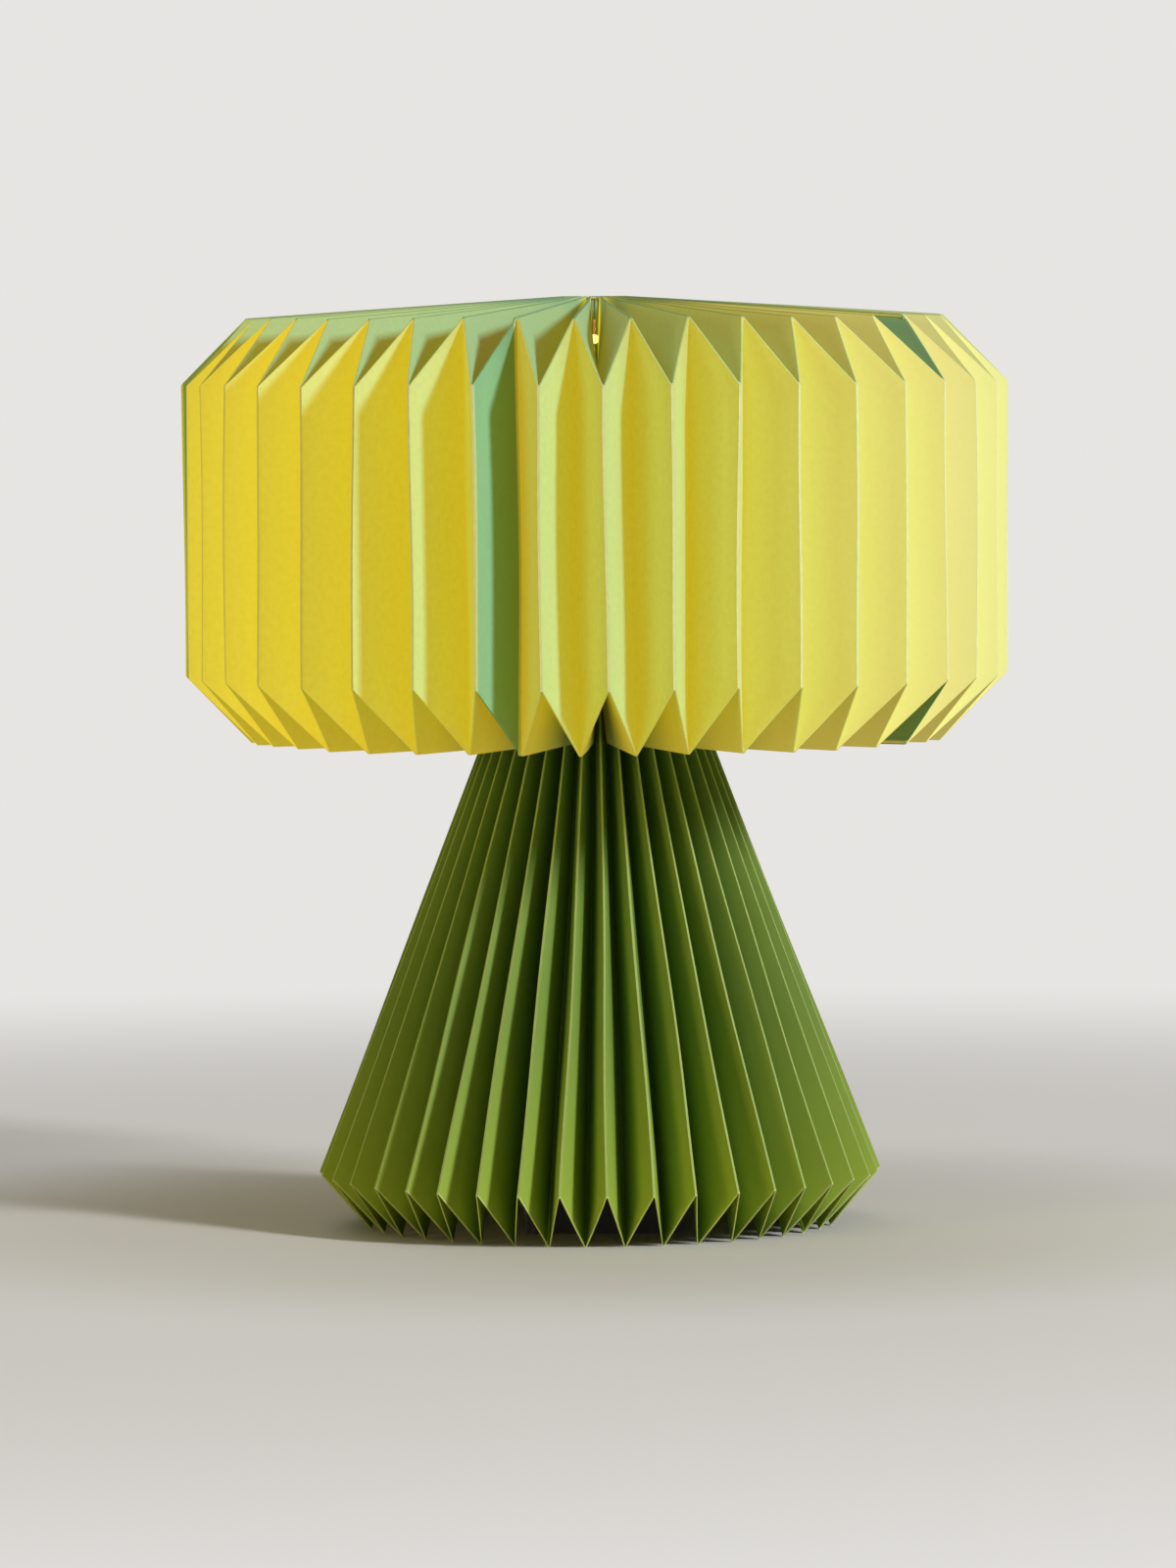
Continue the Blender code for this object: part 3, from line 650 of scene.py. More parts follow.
pleats = {
    "sheets": 5,
    "perSheet": 8,
    "seamPleat": 22,
    "frontFold": math.radians(-90.0),
    "panelWidth": 0.0223,
    "thickness": 0.0003,
    "wallFold": 0.0006,
    "tightFold": 0.0003,
    "across": (0.045, 0.28, 0.52, 0.76, 0.955),
    "lapDrop": 0.0010,
    "lapTrim": 0.0008,
    "lapInset": 0.0030,
    "finOffset": 0.0005,
    "finDepth": 0.0140,
    "finInset": 0.0240,
    "cutLine": 0.0007,
    "mountainDim": 0.84,
    "joinGlow": 0.10,
    "smoothBelow": math.radians(24.0),
    "cloudShift": (0.4, 0.1),
}

# Waves of the paper: amount, waves round the axis, waves up it, and a shift
wander = {
    "size": 0.00030,
    "radii": (0.015, 0.075),
    "fromSeam": (0.08, 0.20),
    "turns": ((1.6, 5, 21, 0.7), (0.9, 13, -34, 2.1), (0.6, 27, 60, 0.0)),
    "outs": ((1.4, 4, -15, 1.2), (0.8, 17, 40, 0.0)),
    "lifts": ((0.7, 9, 0, 0.4),),
    "liftHeights": (0.02, 0.07),
}

shade = {
    "radius": 0.133,
    "wallBottom": 0.1775,
    "wallHeight": 0.0948,
    "roofRise": 0.0066,
    "holeRadius": 0.010,
    "neckClearance": 0.0024,
    "floorRows": 8,
    "wallRows": 12,
    "roofRows": 12,
    "wallGlow": 1.0,
    "roofGlow": 0.40,
    "floorGlow": 0.94,
    # Painted glow at the sides, given for the left and the right
    "sideGlow": (0.76, 0.92),
    "roofSide": (0.70, 2.20),
    "floorSide": (0.18, -0.08),
    "sideEnd": 0.86,
    "sideCurve": 1.5,
    "litRightFrom": 0.25,
    "neckFade": (0.050, 0.100),
    "neckGlow": 0.08,
    "rimFade": (0.010, 0.050),
    "rimGlow": 0.15,
    "rimCut": 0.25,
    "parting": 0.0008,
    "partingReach": 0.060,
    "bunch": 0.50,
    "bunchHalf": 0.40,
    "bunchEnd": 1.40,
    "lean": math.radians(10.0),
    "leanReach": 0.027,
    "leanSpan": 1.2,
    "lampHalo": 0.010,
    "lampGlow": 2.20,
    "lampShift": (0.0, -0.006, 0.004),
    "flat": (0.357, 0.325),
}

base = {
    "radius": 0.0904,
    "foldBottom": 0.0169,
    "slope": 0.383,
    "top": 0.180,
    "footRadius": 0.0758,
    "paleBelow": 0.070,
    "rows": 22,
    "magnetHeight": 0.050,
    "throatInset": 0.0150,
    "flat": (0.357, 0.180),
    "flatArea": 0.041,
}

pitch = math.tau / (pleats["sheets"] * pleats["perSheet"])
sweep = pleats["perSheet"] * pitch
farAway = 0.01  # how far a point on a fold or a tab counts as being from the other folds
leastRadius = 1e-6  # for points on the axis, which lie to neither side
onTab = {"mountain": farAway, "valley": farAway, "cutEdge": 1.0}


def polarPoint(radius, azimuth, sideways, height):
    return Vector((
        radius * math.cos(azimuth) - sideways * math.sin(azimuth),
        radius * math.sin(azimuth) + sideways * math.cos(azimuth),
        height,
    ))


def panelRise(radius):
    across = 2 * radius * math.sin(pitch / 4)
    return math.sqrt(pleats["panelWidth"] ** 2 - across**2)


def innerRadius(radius):
    across = radius * math.sin(pitch / 2)
    return radius * math.cos(pitch / 2) - math.sqrt(pleats["panelWidth"] ** 2 - across**2)


def baseFoldRadius(height):
    return base["radius"] - base["slope"] * (height - base["foldBottom"])


def baseValleyRadius(height):
    apex = base["foldBottom"] + base["radius"] / base["slope"]
    return base["footRadius"] * (apex - height) / apex


def foldHalf(radius):
    share = radius / shade["radius"]
    return (pleats["tightFold"] + (pleats["wallFold"] - pleats["tightFold"]) * share) / 2


def run(first, last, count, edge=0.0):
    # Points from first to last; with an edge, one more point that close to first
    length = math.dist(first, last)
    shares = [step / count for step in range(count + 1)]
    if edge:
        shares.insert(1, edge / length)
    return [tuple(a + (b - a) * share for a, b in zip(first, last)) for share in shares]


def shadeSizes():
    valley = innerRadius(shade["radius"])
    mitre = shade["radius"] - valley * math.cos(pitch / 2)
    wallTop = shade["wallBottom"] + shade["wallHeight"]
    return {
        "valley": valley,
        "floor": shade["wallBottom"] - mitre,
        "wallTop": wallTop,
        "eaves": wallTop + mitre,
        "crown": wallTop + mitre + shade["roofRise"],
    }


def closeFolds(radius, least, edge):
    # Near the hole and the neck the folds lie so close that less light comes through
    return least + (1 - least) * ramp(radius, *edge)


def shadeTier():
    sizes = shadeSizes()
    neckValley = baseValleyRadius(sizes["floor"]) + shade["neckClearance"]
    neckTop = sizes["floor"] + panelRise(neckValley)
    neckFold = baseFoldRadius(neckTop) + shade["neckClearance"]
    trough = sizes["crown"] - panelRise(shade["holeRadius"])
    hole = shade["holeRadius"]
    blunt = pleats["wallFold"]

    def path(radius, neck, bottom, top, rim):
        floor = run(neck, (radius - blunt, bottom), shade["floorRows"], pleats["cutLine"])
        wall = run((radius, bottom + blunt), (radius, top - blunt), shade["wallRows"])
        roof = run(rim, (radius - blunt, top), shade["roofRows"], pleats["cutLine"])
        return floor + wall + roof[::-1]

    neck, rim = (neckFold, neckTop), (hole, trough)
    mountain = path(shade["radius"], neck, shade["wallBottom"], sizes["wallTop"], rim)
    neck, rim = (neckValley, sizes["floor"]), (hole, sizes["crown"])
    valley = path(sizes["valley"], neck, sizes["floor"], sizes["eaves"], rim)
    floorCount = shade["floorRows"] + 2
    wallCount = shade["wallRows"] + 1
    roofCount = shade["roofRows"] + 2

    def everyRow(floor, wall, roof):
        return [floor] * floorCount + [wall] * wallCount + [roof] * roofCount

    easeIn = [row / (floorCount - 1) for row in range(floorCount)]
    easeOut = [1.0 - row / (roofCount - 1) for row in range(roofCount)]
    finEdge = sizes["valley"] - pleats["finDepth"]
    atNeck = [closeFolds(r, shade["neckGlow"], shade["neckFade"]) for r, z in valley[:floorCount]]
    atRim = [closeFolds(r, shade["rimGlow"], shade["rimFade"]) for r, z in valley[-roofCount:]]
    glow = everyRow(shade["floorGlow"], shade["wallGlow"], shade["roofGlow"])
    glow = [light * share for light, share in zip(glow, atNeck + [1.0] * wallCount + atRim)]
    uncut = [0.0] * (len(valley) - 2)
    return {
        "mountain": mountain,
        "valley": valley,
        "wall": range(floorCount + 1, floorCount + wallCount - 1),
        "ease": easeIn + [1.0] * wallCount + easeOut,
        "glow": glow,
        "sideGlow": everyRow(shade["floorSide"], shade["sideGlow"], shade["roofSide"]),
        "roof": everyRow(0.0, 0.0, 1.0),
        # The floor's rows carry the painted shade underneath
        "low": everyRow(1.0, 0.0, 0.0),
        "cut": {"mountain": [1.0, *uncut, 0.0], "valley": [1.0, *uncut, shade["rimCut"]]},
        "insets": (pleats["lapInset"], pleats["lapInset"]),
        "fin": (
            (finEdge, sizes["floor"] + pleats["finInset"]),
            (finEdge, sizes["eaves"] - pleats["finInset"]),
        ),
    }


def baseTier():
    top = base["top"]
    foot = (base["radius"], base["foldBottom"])
    mountain = run(foot, (baseFoldRadius(top), top), base["rows"], pleats["cutLine"])
    foot = (baseValleyRadius(0.0), 0.0)
    valley = run(foot, (baseValleyRadius(top), top), base["rows"], pleats["cutLine"])
    finEnds = (base["magnetHeight"] - pleats["finInset"], base["magnetHeight"] + pleats["finInset"])
    rows = len(mountain)
    cut = [1.0] + [0.0] * (rows - 1)
    return {
        "mountain": mountain,
        "valley": valley,
        "wall": range(2, rows - 1),
        "ease": [1.0] * rows,
        "glow": [0.0] * rows,
        "sideGlow": [(0.0, 0.0)] * rows,
        "roof": [0.0] * rows,
        # The foot is painted paler, as if lit from the table
        "low": [ramp(point[1], base["paleBelow"], base["foldBottom"]) for point in mountain],
        "cut": {"mountain": cut, "valley": cut},
        "insets": (pleats["lapInset"], base["throatInset"]),
        "fin": [(baseValleyRadius(height) - pleats["finDepth"], height) for height in finEnds],
    }


class Column:
    # One line of points along the paper, from its first cut edge to its last
    def __init__(self, points, across, fold, glow, cut):
        self.points = points
        self.across = across
        self.fold = fold
        self.glow = glow
        self.cut = cut
        self.near = {"mountain": [farAway] * len(points), "valley": [farAway] * len(points)}
        if fold:
            self.near[fold] = [0.0] * len(points)


def foldColumn(tier, fold, azimuth, side, across):
    points = [polarPoint(r, azimuth, side * foldHalf(r), z) for r, z in tier[fold]]
    dim = pleats["mountainDim"] if fold == "mountain" else 1.0
    return Column(points, across, fold, [dim * glow for glow in tier["glow"]], tier["cut"][fold])


def seamColumn(tier, azimuth, sideways, across):
    points = [polarPoint(r, azimuth, sideways, z) for r, z in tier["valley"]]
    return Column(points, across, "valley", tier["glow"], tier["cut"]["valley"])


def lapColumn(tier, azimuth):
    # The left edge of the fold that starts a sheet, let down under the sheet before it
    points = []
    for (r, z), ease in zip(tier["valley"], tier["ease"]):
        points.append(polarPoint(r, azimuth, -foldHalf(r) - pleats["lapDrop"] * ease, z))
    return Column(points, 0.0, "", [0.0] * len(points), tier["cut"]["valley"])


def mixRows(first, last, share):
    return [a + (b - a) * share for a, b in zip(first, last)]


def panelColumn(first, last, share, dim):
    # One column on the flat panel between two folds; dim is the panel's share of the light
    points = [a.lerp(b, share) for a, b in zip(first.points, last.points)]
    across = first.across + share * pleats["panelWidth"]
    glow = [dim * value for value in mixRows(first.glow, last.glow, share)]
    column = Column(points, across, "", glow, mixRows(first.cut, last.cut, share))
    widths = [(b - a).length for a, b in zip(first.points, last.points)]
    column.near[first.fold] = [share * width for width in widths]
    column.near[last.fold] = [(1 - share) * width for width in widths]
    return column


def panelColumns(first, last):
    return [panelColumn(first, last, share, 1.0) for share in pleats["across"]]


def joinPanel(falling, ending):
    # The panel glued over the next sheet's tab: two layers, so little light comes through
    end = 1 - pleats["lapTrim"] / pleats["panelWidth"]
    inside = end - pleats["cutLine"] / pleats["panelWidth"]
    shares = [share * end for share in pleats["across"]] + [inside, end]
    made = [panelColumn(falling, ending, share, pleats["joinGlow"]) for share in shares]
    made[-1].cut = [1.0] * len(made[-1].points)
    return made


def sheetStart(index):
    return pleats["frontFold"] + (pleats["seamPleat"] + 0.5 + index * pleats["perSheet"]) * pitch


def sheetColumns(index, tier):
    start = sheetStart(index)
    width = pleats["panelWidth"]
    lastSheet = index == pleats["sheets"] - 1
    if index == 0:
        columns = [seamColumn(tier, start, pleats["finOffset"], 0.0)]
    else:
        columns = [lapColumn(tier, start), foldColumn(tier, "valley", start, 1, pleats["wallFold"])]
    for pleat in range(pleats["perSheet"]):
        mountain = start + (pleat + 0.5) * pitch
        valley = start + (pleat + 1) * pitch
        across = (2 * pleat + 1) * width
        rising = foldColumn(tier, "mountain", mountain, -1, across)
        falling = foldColumn(tier, "mountain", mountain, 1, across + pleats["wallFold"])
        columns += panelColumns(columns[-1], rising) + [rising, falling]
        if pleat < pleats["perSheet"] - 1:
            ending = foldColumn(tier, "valley", valley, -1, across + width)
            columns += panelColumns(falling, ending) + [ending]
            columns.append(foldColumn(tier, "valley", valley, 1, across + width + pleats["wallFold"]))
        elif lastSheet:
            ending = seamColumn(tier, valley, -pleats["finOffset"], across + width)
            columns += panelColumns(falling, ending) + [ending]
        else:
            columns += joinPanel(falling, foldColumn(tier, "valley", valley, -1, across + width))
    return columns


def tabEdge(index, tier, side):
    # The outer edge of a sheet's tab: a lap under the sheet before it, or a fin at the seam
    start = sheetStart(index)
    if side > 0 or index == 0:
        azimuth = start + sweep if side > 0 else start
        return [polarPoint(r, azimuth, -side * pleats["finOffset"], z) for r, z in tier["fin"]]
    under = polarPoint(0.0, start, -pleats["lapDrop"], 0.0)
    fold = foldColumn(tier, "mountain", start - pitch / 2, 1, 0.0).points
    valley = foldColumn(tier, "valley", start, -1, 0.0).points
    edge = []
    for row, inset in zip((tier["wall"][0], tier["wall"][-1]), tier["insets"]):
        edge.append(fold[row].lerp(valley[row], inset / pleats["panelWidth"]) + under)
    return edge


def alongPath(column):
    steps = [(last - first).length for first, last in zip(column.points, column.points[1:])]
    return np.concatenate(([0.0], np.cumsum(steps)))


def sideShare(points):
    # -1 at the left, 0 in front and behind, 1 at the right
    x, y = points.T[:2]
    return x / np.maximum(np.hypot(x, y), leastRadius)


def lightOnPaper(points, glow, tier):
    # More glow is painted at the sides than in front and behind, by different amounts at the left and
    # the right, and round the lamp in the hole
    aside = sideShare(points)
    left, right = np.tile(tier["sideGlow"], (len(points) // len(tier["sideGlow"]), 1)).T
    turned = np.minimum(np.abs(aside), shade["sideEnd"]) ** shade["sideCurve"]
    lit = np.array(glow) * (1 + np.where(aside < 0, left, right) * turned)
    if tier["glow"][0]:
        low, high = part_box("lamp_%d" % lamp["count"])
        middle = (np.array(low) + np.array(high)) / 2 + shade["lampShift"]
        apart = np.linalg.norm(points - middle, axis=1)
        lit = lit + shade["lampGlow"] * np.exp(-((apart / shade["lampHalo"]) ** 2))
    return lit


def pleatedSheet(name, index, tier, material):
    columns = sheetColumns(index, tier)
    shape = bmesh.new()
    fields = {"mountain": [], "valley": [], "roof": [], "low": [], "glow": [], "cutEdge": []}
    places, sheetPlace, grid = [], [], []
    for column in columns:
        grid.append([shape.verts.new(point) for point in column.points])
        places += column.points
        fields["mountain"] += column.near["mountain"]
        fields["valley"] += column.near["valley"]
        fields["roof"] += tier["roof"]
        fields["low"] += tier["low"]
        fields["glow"] += column.glow
        fields["cutEdge"] += column.cut
        sheetPlace += [(column.across, along) for along in alongPath(column)]
    places = np.array(places)
    fields["glow"] = list(lightOnPaper(places, fields["glow"], tier))
    # The cream field paints the paper and its glow paler towards the right
    fields["cream"] = list(ramp(sideShare(places), shade["litRightFrom"], 1.0))
    for left, right in zip(grid, grid[1:]):
        for row in range(len(left) - 1):
            shape.faces.new((left[row], right[row], right[row + 1], left[row + 1]))

    tabs = [(0, tabEdge(index, tier, -1))]
    if index == pleats["sheets"] - 1:
        tabs.append((-1, tabEdge(index, tier, 1)))
    rows = list(tier["wall"])
    for end, (low, high) in tabs:
        last = len(rows) - 1
        edge = [shape.verts.new(low.lerp(high, step / last)) for step in range(len(rows))]
        across = columns[end].across + (pleats["finDepth"] if end else -pleats["finDepth"])
        sheetPlace += [(across, alongPath(columns[end])[row]) for row in rows]
        for field in fields:
            fields[field] += [onTab.get(field, 0.0)] * len(rows)
        joined = [grid[end][row] for row in rows]
        for step in range(last):
            corners = (joined[step], joined[step + 1], edge[step + 1], edge[step])
            shape.faces.new(corners if end == 0 else corners[::-1])

    bmesh.ops.recalc_face_normals(shape, faces=shape.faces)
    mesh = bpy.data.meshes.new(name)
    shape.to_mesh(mesh)
    shape.free()
    for field, values in fields.items():
        setField(mesh, field, values)
    uv = mesh.uv_layers.new(name="sheet")
    corners = np.empty(len(mesh.loops), np.int32)
    mesh.loops.foreach_get("vertex_index", corners)
    apart = index * np.array(pleats["cloudShift"])  # so that no two sheets share their clouds
    uv.data.foreach_set("uv", (np.array(sheetPlace)[corners] + apart).astype(np.float32).ravel())
    sheet = showPiece(name, mesh, material)
    finishSheet(sheet, index)
    return sheet


def finishSheet(sheet, index):
    # Thickness, a little unevenness, a gathered rim and smooth shading, with the placement baked in
    pickOnly(sheet)
    paper = sheet.modifiers.new("Paper", "SOLIDIFY")
    paper.solidify_mode = "NON_MANIFOLD"
    paper.nonmanifold_thickness_mode = "CONSTRAINTS"
    paper.thickness = pleats["thickness"]
    paper.offset = 0.0
    bpy.ops.object.modifier_apply(modifier="Paper")
    setPoints(sheet.data, waver(gatherRim(meshPoints(sheet.data)), sheetStart(0)))
    bpy.ops.object.shade_smooth_by_angle(angle=pleats["smoothBelow"])
    closeLikeFan(sheet, index)


def gatherRim(points):
    # Round the hole the folds stand a little apart at the front, where the lamp shows; at the back they
    # bunch and lean over
    x, y, z = points.T
    radius = np.hypot(x, y)
    azimuth = np.arctan2(y, x)
    turned = angleFrom(azimuth, pleats["frontFold"])
    behind = math.pi - np.abs(turned)
    wallTop = shadeSizes()["wallTop"]
    onRoof = ramp(z, wallTop, wallTop + pleats["thickness"])
    reach = ramp(radius, shade["partingReach"], shade["holeRadius"])
    bunch = np.minimum(behind, shade["bunchHalf"] * (shade["bunchEnd"] - behind).clip(0.0))
    part = (1 - np.abs(turned) / math.pi) * shade["parting"] / np.maximum(radius, shade["holeRadius"])
    azimuth = azimuth + np.sign(turned) * (part + shade["bunch"] * bunch) * reach**2 * onRoof
    near = ramp(radius, shade["leanReach"], shade["holeRadius"])
    azimuth = azimuth + shade["lean"] * ramp(behind, shade["leanSpan"], 0.0) * near**2 * onRoof
    return np.stack([radius * np.cos(azimuth), radius * np.sin(azimuth), z], axis=1)


def waves(terms, azimuth, height):
    total = 0.0
    for size, around, up, shift in terms:
        total = total + size * np.sin(around * azimuth + up * height + shift)
    return total


def waver(points, seam):
    # Paper is never quite true: a slow wander of the folds and a slight buckle of the panels
    x, y, z = points.T
    azimuth = np.arctan2(y, x)
    amount = wander["size"] * ramp(np.hypot(x, y), *wander["radii"])
    amount = amount * ramp(np.abs(angleFrom(azimuth, seam)), *wander["fromSeam"])
    turn = waves(wander["turns"], azimuth, z)
    out = waves(wander["outs"], azimuth, z)
    lift = waves(wander["lifts"], azimuth, z) * ramp(z, *wander["liftHeights"])
    moved = points.copy()
    moved[:, 0] += amount * (out * np.cos(azimuth) - turn * np.sin(azimuth))
    moved[:, 1] += amount * (out * np.sin(azimuth) + turn * np.cos(azimuth))
    moved[:, 2] = np.maximum(z + amount * lift, 0.0)
    return moved


def closeLikeFan(piece, index):
    # Bakes the piece's placement into its mesh and works out each point's turn from the middle of the
    # sheet's sweep
    start = sheetStart(index)
    first = polarPoint(shade["radius"], start, 0.0, base["top"])
    last = polarPoint(shade["radius"], start + sweep, 0.0, base["top"])
    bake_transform(piece)
    points = meshPoints(piece.data)
    turned = angleFrom(np.arctan2(points[:, 1], points[:, 0]), start + sweep / 2)


def addSheets():
    shadeMaterial = shadePaperMaterial(shadePaper)
    baseMaterial = basePaperMaterial(basePaper)
    wallTier = shadeTier()
    coneTier = baseTier()
    for index in range(pleats["sheets"]):
        piece = pleatedSheet("shadePaper%d" % (index + 1), index, wallTier, shadeMaterial)
        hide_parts("shade_sheet_%d" % (index + 1))
        piece = pleatedSheet("basePaper%d" % (index + 1), index, coneTier, baseMaterial)
        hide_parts("base_sheet_%d" % (index + 1))


addSheets()
print("paper sheets folded")


# Gathering threads: one length to a sheet

thread = {
    "strands": 2,
    "strand": 0.00017,
    "offset": 0.00014,
    "twist": 0.0016,
    "sides": 6,
    "spacing": 0.00022,
    "arcSteps": 10,
    "cream": rgb(0.860, 0.800, 0.620),
    "creamDeep": rgb(0.700, 0.620, 0.430),
    "layTurns": 3,
    "layShare": 0.4,
    "fluff": (2400.0, 3.0, 0.6),
    "fluffShare": 0.6,
    "roughness": 0.6,
    "fluffDulls": 0.2,
    "bump": 0.3,
}


def threadMaterial(finish):
    paint = startPaint("waxedThread")
    walked = paint.field("walked")
    lay = (walked * (math.tau * finish["layTurns"] / finish["twist"])).sine() * 0.5 + 0.5
    fluff = paint.noise(paint.place(), *finish["fluff"])
    tone = lay * finish["layShare"] + fluff * finish["fluffShare"]
    return paint.close({
        "Base Color": paint.mix(tone, finish["creamDeep"], finish["cream"]),
        "Roughness": finish["roughness"] + fluff * finish["fluffDulls"],
        "Normal": paint.bump(tone, finish["bump"], fineRelief),
    })


def addThreads():
    material = threadMaterial(thread)
    for node, label in (("top_gather_thread", "topThread"), ("neck_gather_thread", "neckThread")):
        low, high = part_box(node)
        radius = (high[0] - low[0]) / 2 - (thread["offset"] + thread["strand"])
        height = (low[2] + high[2]) / 2
        for index in range(pleats["sheets"]):
            points = []
            for step in range(thread["arcSteps"] + 1):
                azimuth = sheetStart(index) + sweep * step / thread["arcSteps"]
                points.append(polarPoint(radius, azimuth, 0.0, height))
            name = "%s%d" % (label, index + 1)
            piece = twistedStrands(name, points, thread, material)[0]
            closeLikeFan(piece, index)
            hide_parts(node)


addThreads()
print("threads drawn through the folds")


# Finishes of the fitted pieces inside the base and at the seam

casePlastic = {"colour": rgb(0.022, 0.022, 0.024), "worn": rgb(0.060, 0.060, 0.062), "roughness": 0.42}
switchPlastic = {"colour": rgb(0.012, 0.012, 0.013), "worn": rgb(0.045, 0.045, 0.046), "roughness": 0.34}
mouldedGrain = {
    "grain": (2200.0, 3.0, 0.6),
    "grainDulls": 0.1,
    "bump": 0.25,
    "rubs": (140.0, 4.0, 0.65),
    "rubEdge": (0.52, 0.75),
    "rubDulls": 0.12,
    "specular": 0.4,
}
platedSteel = {
    "clean": rgb(0.640, 0.630, 0.600),
    "stained": rgb(0.430, 0.420, 0.400),
    "roughness": 0.24,
    "stains": (190.0, 4.0, 0.6),
    "stainEdge": (0.35, 0.7),
    "stainDulls": 0.16,
    "scratches": (3800.0, 2.0, 0.5),
    "scratchRun": (1.0, 1.0, 0.06),
    "bump": 0.12,
}
cellFilm = {
    "body": rgb(0.030, 0.033, 0.038),
    "band": rgb(0.420, 0.200, 0.060),
    "bare": rgb(0.600, 0.590, 0.560),
    "bandEnds": (0.70, 0.955),
    "bandBlur": 0.004,
    "bandMetal": 0.7,
    "roughness": 0.3,
    "scuffs": (420.0, 4.0, 0.6),
    "scuffDulls": 0.14,
    "scuffBump": 0.08,
}
circuitBoard = {
    "mask": rgb(0.010, 0.085, 0.034),
    "trace": rgb(0.022, 0.170, 0.060),
    "tin": rgb(0.560, 0.550, 0.510),
    "tracePitch": 0.0016,
    "traceEdge": (0.35, 0.6),
    "traceHeight": 0.5,
    "wander": (240.0, 1.0, 0.4),
    "wanderBy": 0.004,
    "pads": (620.0, 0.0, 0.0),
    "padEdge": (0.72, 0.74),
    "padDulls": 0.1,
    "roughness": 0.32,
    "coat": 0.3,
    "bump": 0.3,
}


def plasticMaterial(name, finish):
    paint = startPaint(name)
    place = paint.place()
    grain = paint.noise(place, *mouldedGrain["grain"])
    rubbed = paint.noise(place, *mouldedGrain["rubs"]).rise(*mouldedGrain["rubEdge"])
    dulled = rubbed * mouldedGrain["rubDulls"] + (grain - 0.5) * mouldedGrain["grainDulls"]
    return paint.close({
        "Base Color": paint.mix(rubbed, finish["colour"], finish["worn"]),
        "Roughness": finish["roughness"] + dulled,
        "Specular IOR Level": mouldedGrain["specular"],
        "Normal": paint.bump(grain, mouldedGrain["bump"], fineRelief),
    })


def cellMaterial(finish, name, node, nubForward):
    # Plain dark film with a copper-coloured band at the nub's end, and bare metal beyond it
    low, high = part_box(node)
    paint = startPaint(name)
    place = paint.place()
    y = paint.along(place, 1)
    share = (high[1] - y if nubForward else y - low[1]) * (1 / (high[1] - low[1]))
    scuffs = paint.noise(place, *finish["scuffs"])
    band, bare = [share.rise(end, end + finish["bandBlur"]) for end in finish["bandEnds"]]
    return paint.close({
        "Base Color": paint.layers(finish["body"], (band, finish["band"]), (bare, finish["bare"])),
        "Roughness": finish["roughness"] + scuffs * finish["scuffDulls"],
        "Metallic": (band * finish["bandMetal"]).larger(bare),
        "Normal": paint.bump(scuffs, finish["scuffBump"], fineRelief),
    })


def boardMaterial(finish):
    paint = startPaint("circuitBoard")
    place = paint.place()
    across = paint.along(place, 0) + paint.noise(place, *finish["wander"]) * finish["wanderBy"]
    trace = (across * (math.tau / finish["tracePitch"])).sine().rise(*finish["traceEdge"])
    pads = paint.noise(place, *finish["pads"]).rise(*finish["padEdge"])
    return paint.close({
        "Base Color": paint.layers(finish["mask"], (trace, finish["trace"]), (pads, finish["tin"])),
        "Roughness": finish["roughness"] + pads * finish["padDulls"],
        "Metallic": pads,
        "Coat Weight": finish["coat"],
        "Normal": paint.bump(trace * finish["traceHeight"] + pads, finish["bump"], fineRelief),
    })


def finishNodes():
    case = plasticMaterial("casePlastic", casePlastic)
    dark = plasticMaterial("switchPlastic", switchPlastic)
    steel = metalMaterial("platedSteel", platedSteel)
    finishes = {
        "battery_case": case,
        "battery_door": case,
        "switch_knob": dark,
        "strain_relief": dark,
        "timer_board": boardMaterial(circuitBoard),
    }
    for cell in (1, 2, 3):
        node = "battery_%d" % cell
        nubForward = cell != 2  # the middle cell lies the other way round
        finishes[node] = cellMaterial(cellFilm, "cellFilm%d" % cell, node, nubForward)
    for node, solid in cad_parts.items():
        if node in finishes:
            solid.material_slots[0].material = finishes[node]
        elif "magnet" in node or "contact" in node:
            solid.material_slots[0].material = steel


finishNodes()
print("fitted pieces finished")


# Floor, world and lamps

stage = {
    "floorSize": 12.0,
    "pale": rgb(0.800, 0.785, 0.765),
    "bounce": rgb(0.900, 0.800, 0.260),
    "roughness": 0.9,
    "lift": 0.34,
    "liftFrom": 0.085,
    "liftTo": 0.30,
    "fadeFrom": 0.20,
    "fadeTo": 1.0,
    "ambientColour": rgb(1.0, 0.93, 0.70),
    "ambient": 0.05,
    "lightsAway": 2.8,
}

# Each stands at an azimuth and a height, in degrees, and has a width and a length
keyLight = {"at": (-38.5, 26.5), "size": (0.32, 0.56), "power": 58.0, "colour": (1.0, 1.0, 1.0)}
fillLight = {"at": (-138.0, 8.0), "size": (1.0, 0.8), "power": 16.6, "colour": (1.0, 0.81, 0.28)}
backLight = {"at": (110.0, 40.0), "size": (1.6, 1.6), "power": 9.0, "colour": (1.0, 1.0, 1.0)}


def seenDirectly(paint):
    # Rays that show the background as it is: to the camera, and through gloss and clear resin
    kinds = ("Is Camera Ray", "Is Glossy Ray", "Is Transmission Ray")
    straight, gloss, through = [paint.add("ShaderNodeLightPath", out=kind) for kind in kinds]
    return straight.larger(gloss).larger(through)


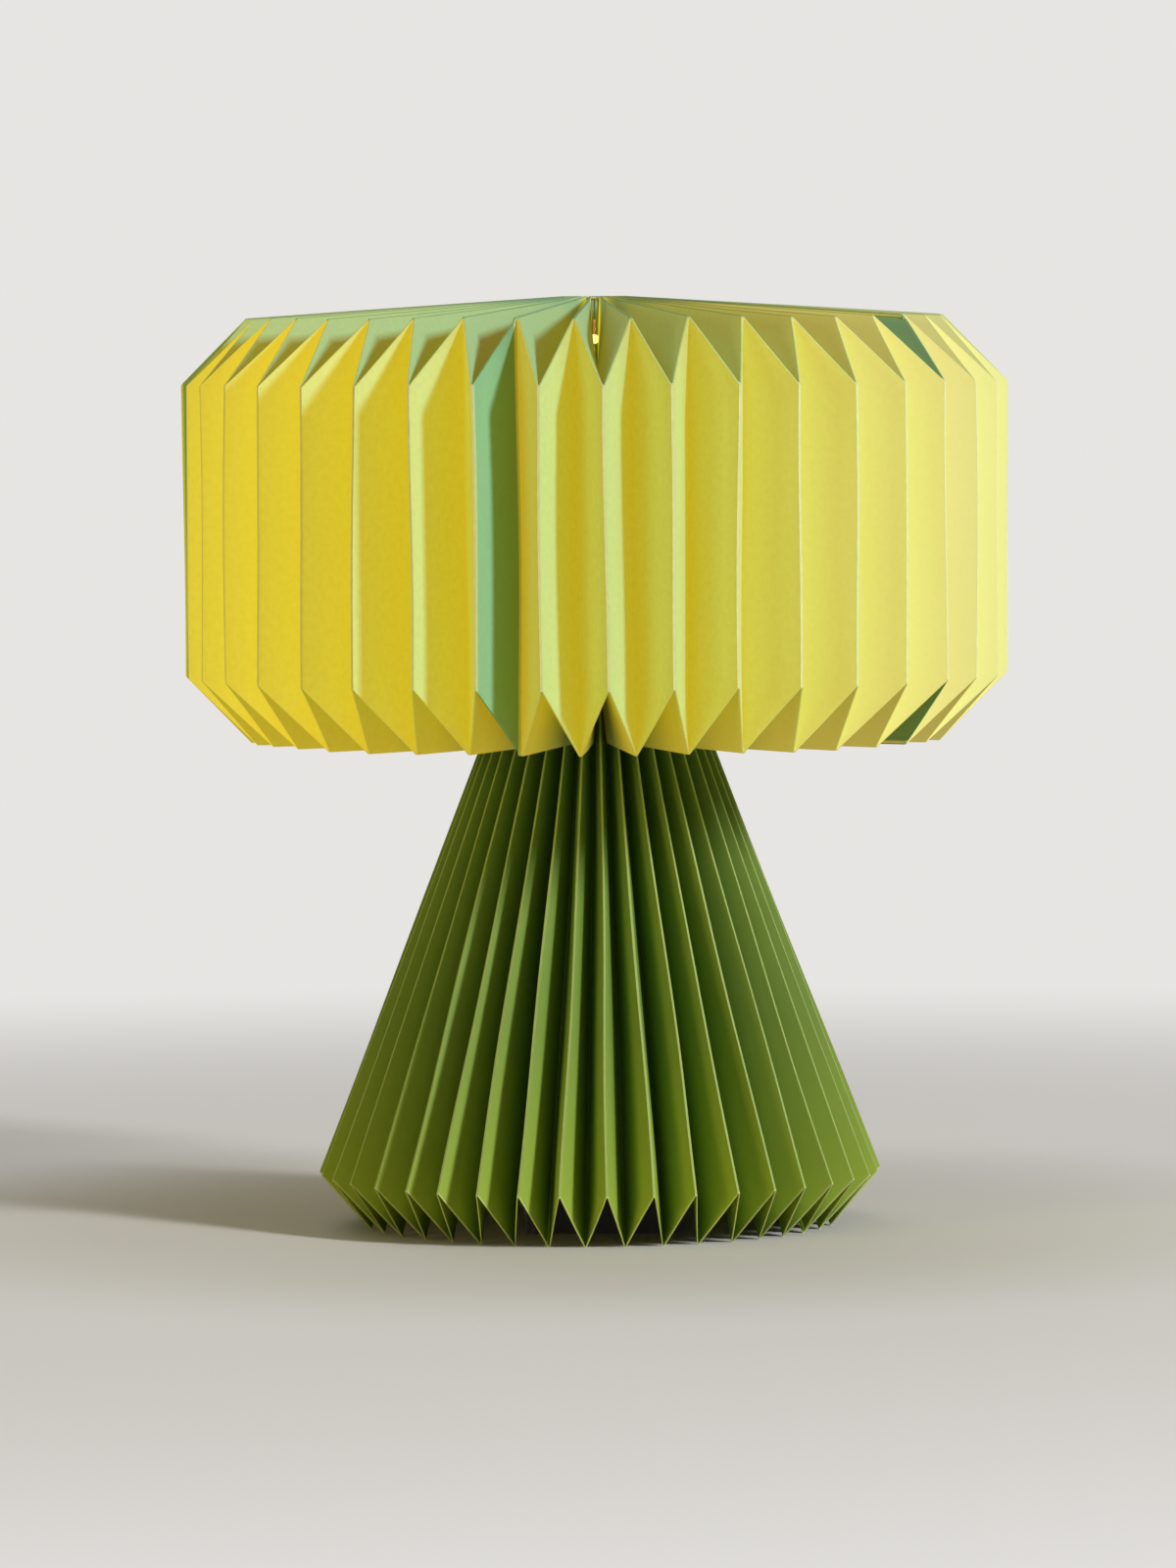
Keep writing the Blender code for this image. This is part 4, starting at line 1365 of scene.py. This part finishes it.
def addFloor(settings):
    bpy.ops.mesh.primitive_plane_add(size=settings["floorSize"])
    floor = bpy.context.object
    floor.name = "floor"
    paint = startPaint("paleFloor")
    place = paint.place()
    x, y = paint.along(place, 0), paint.along(place, 1)
    away = x * x + y * y
    fade = away.rise(settings["fadeFrom"] ** 2, settings["fadeTo"] ** 2)
    lift = away.rise(settings["liftFrom"] ** 2, settings["liftTo"] ** 2) * settings["lift"]
    seen = seenDirectly(paint)
    colour = paint.mix(seen, settings["bounce"], settings["pale"])
    mattSockets = {"Base Color": colour, "Roughness": settings["roughness"]}
    matt = paint.add("ShaderNodeBsdfPrincipled", None, mattSockets)
    flat = paint.add("ShaderNodeEmission", None, {"Color": settings["pale"], "Strength": 1.0})
    share = seen * (1.0 - (1.0 - fade) * (1.0 - lift))
    mixed = paint.add("ShaderNodeMixShader", None, {0: share, 1: matt, 2: flat})
    paint.add("ShaderNodeOutputMaterial", None, {"Surface": mixed})
    floor.data.materials.append(paint.owner)


def addWorld(settings):
    world = bpy.data.worlds.new("studio")
    bpy.context.scene.world = world
    paint = Paint(world)
    seen = paint.add("ShaderNodeBackground", None, {"Color": settings["pale"], "Strength": 1.0})
    soft = {"Color": settings["ambientColour"], "Strength": settings["ambient"]}
    lighting = paint.add("ShaderNodeBackground", None, soft)
    mixed = paint.add("ShaderNodeMixShader", None, {0: seenDirectly(paint), 1: lighting, 2: seen})
    paint.add("ShaderNodeOutputWorld", None, {"Surface": mixed})


def addSoftbox(name, settings):
    around, up = [math.radians(angle) for angle in settings["at"]]
    towards = Vector((math.cos(around) * math.cos(up), math.sin(around) * math.cos(up), math.sin(up)))
    middle = (Vector(cadLow) + Vector(cadHigh)) / 2
    bpy.ops.object.light_add(type="AREA", location=middle + stage["lightsAway"] * towards)
    softbox = bpy.context.object
    softbox.name = name
    softbox.rotation_euler = towards.to_track_quat("Z", "Y").to_euler()
    softbox.data.shape = "RECTANGLE"
    softbox.data.size, softbox.data.size_y = settings["size"]
    softbox.data.energy = settings["power"]
    softbox.data.color = settings["colour"]


addFloor(stage)
addWorld(stage)
addSoftbox("keyLight", keyLight)
addSoftbox("fillLight", fillLight)
addSoftbox("backLight", backLight)
print("stage lit")
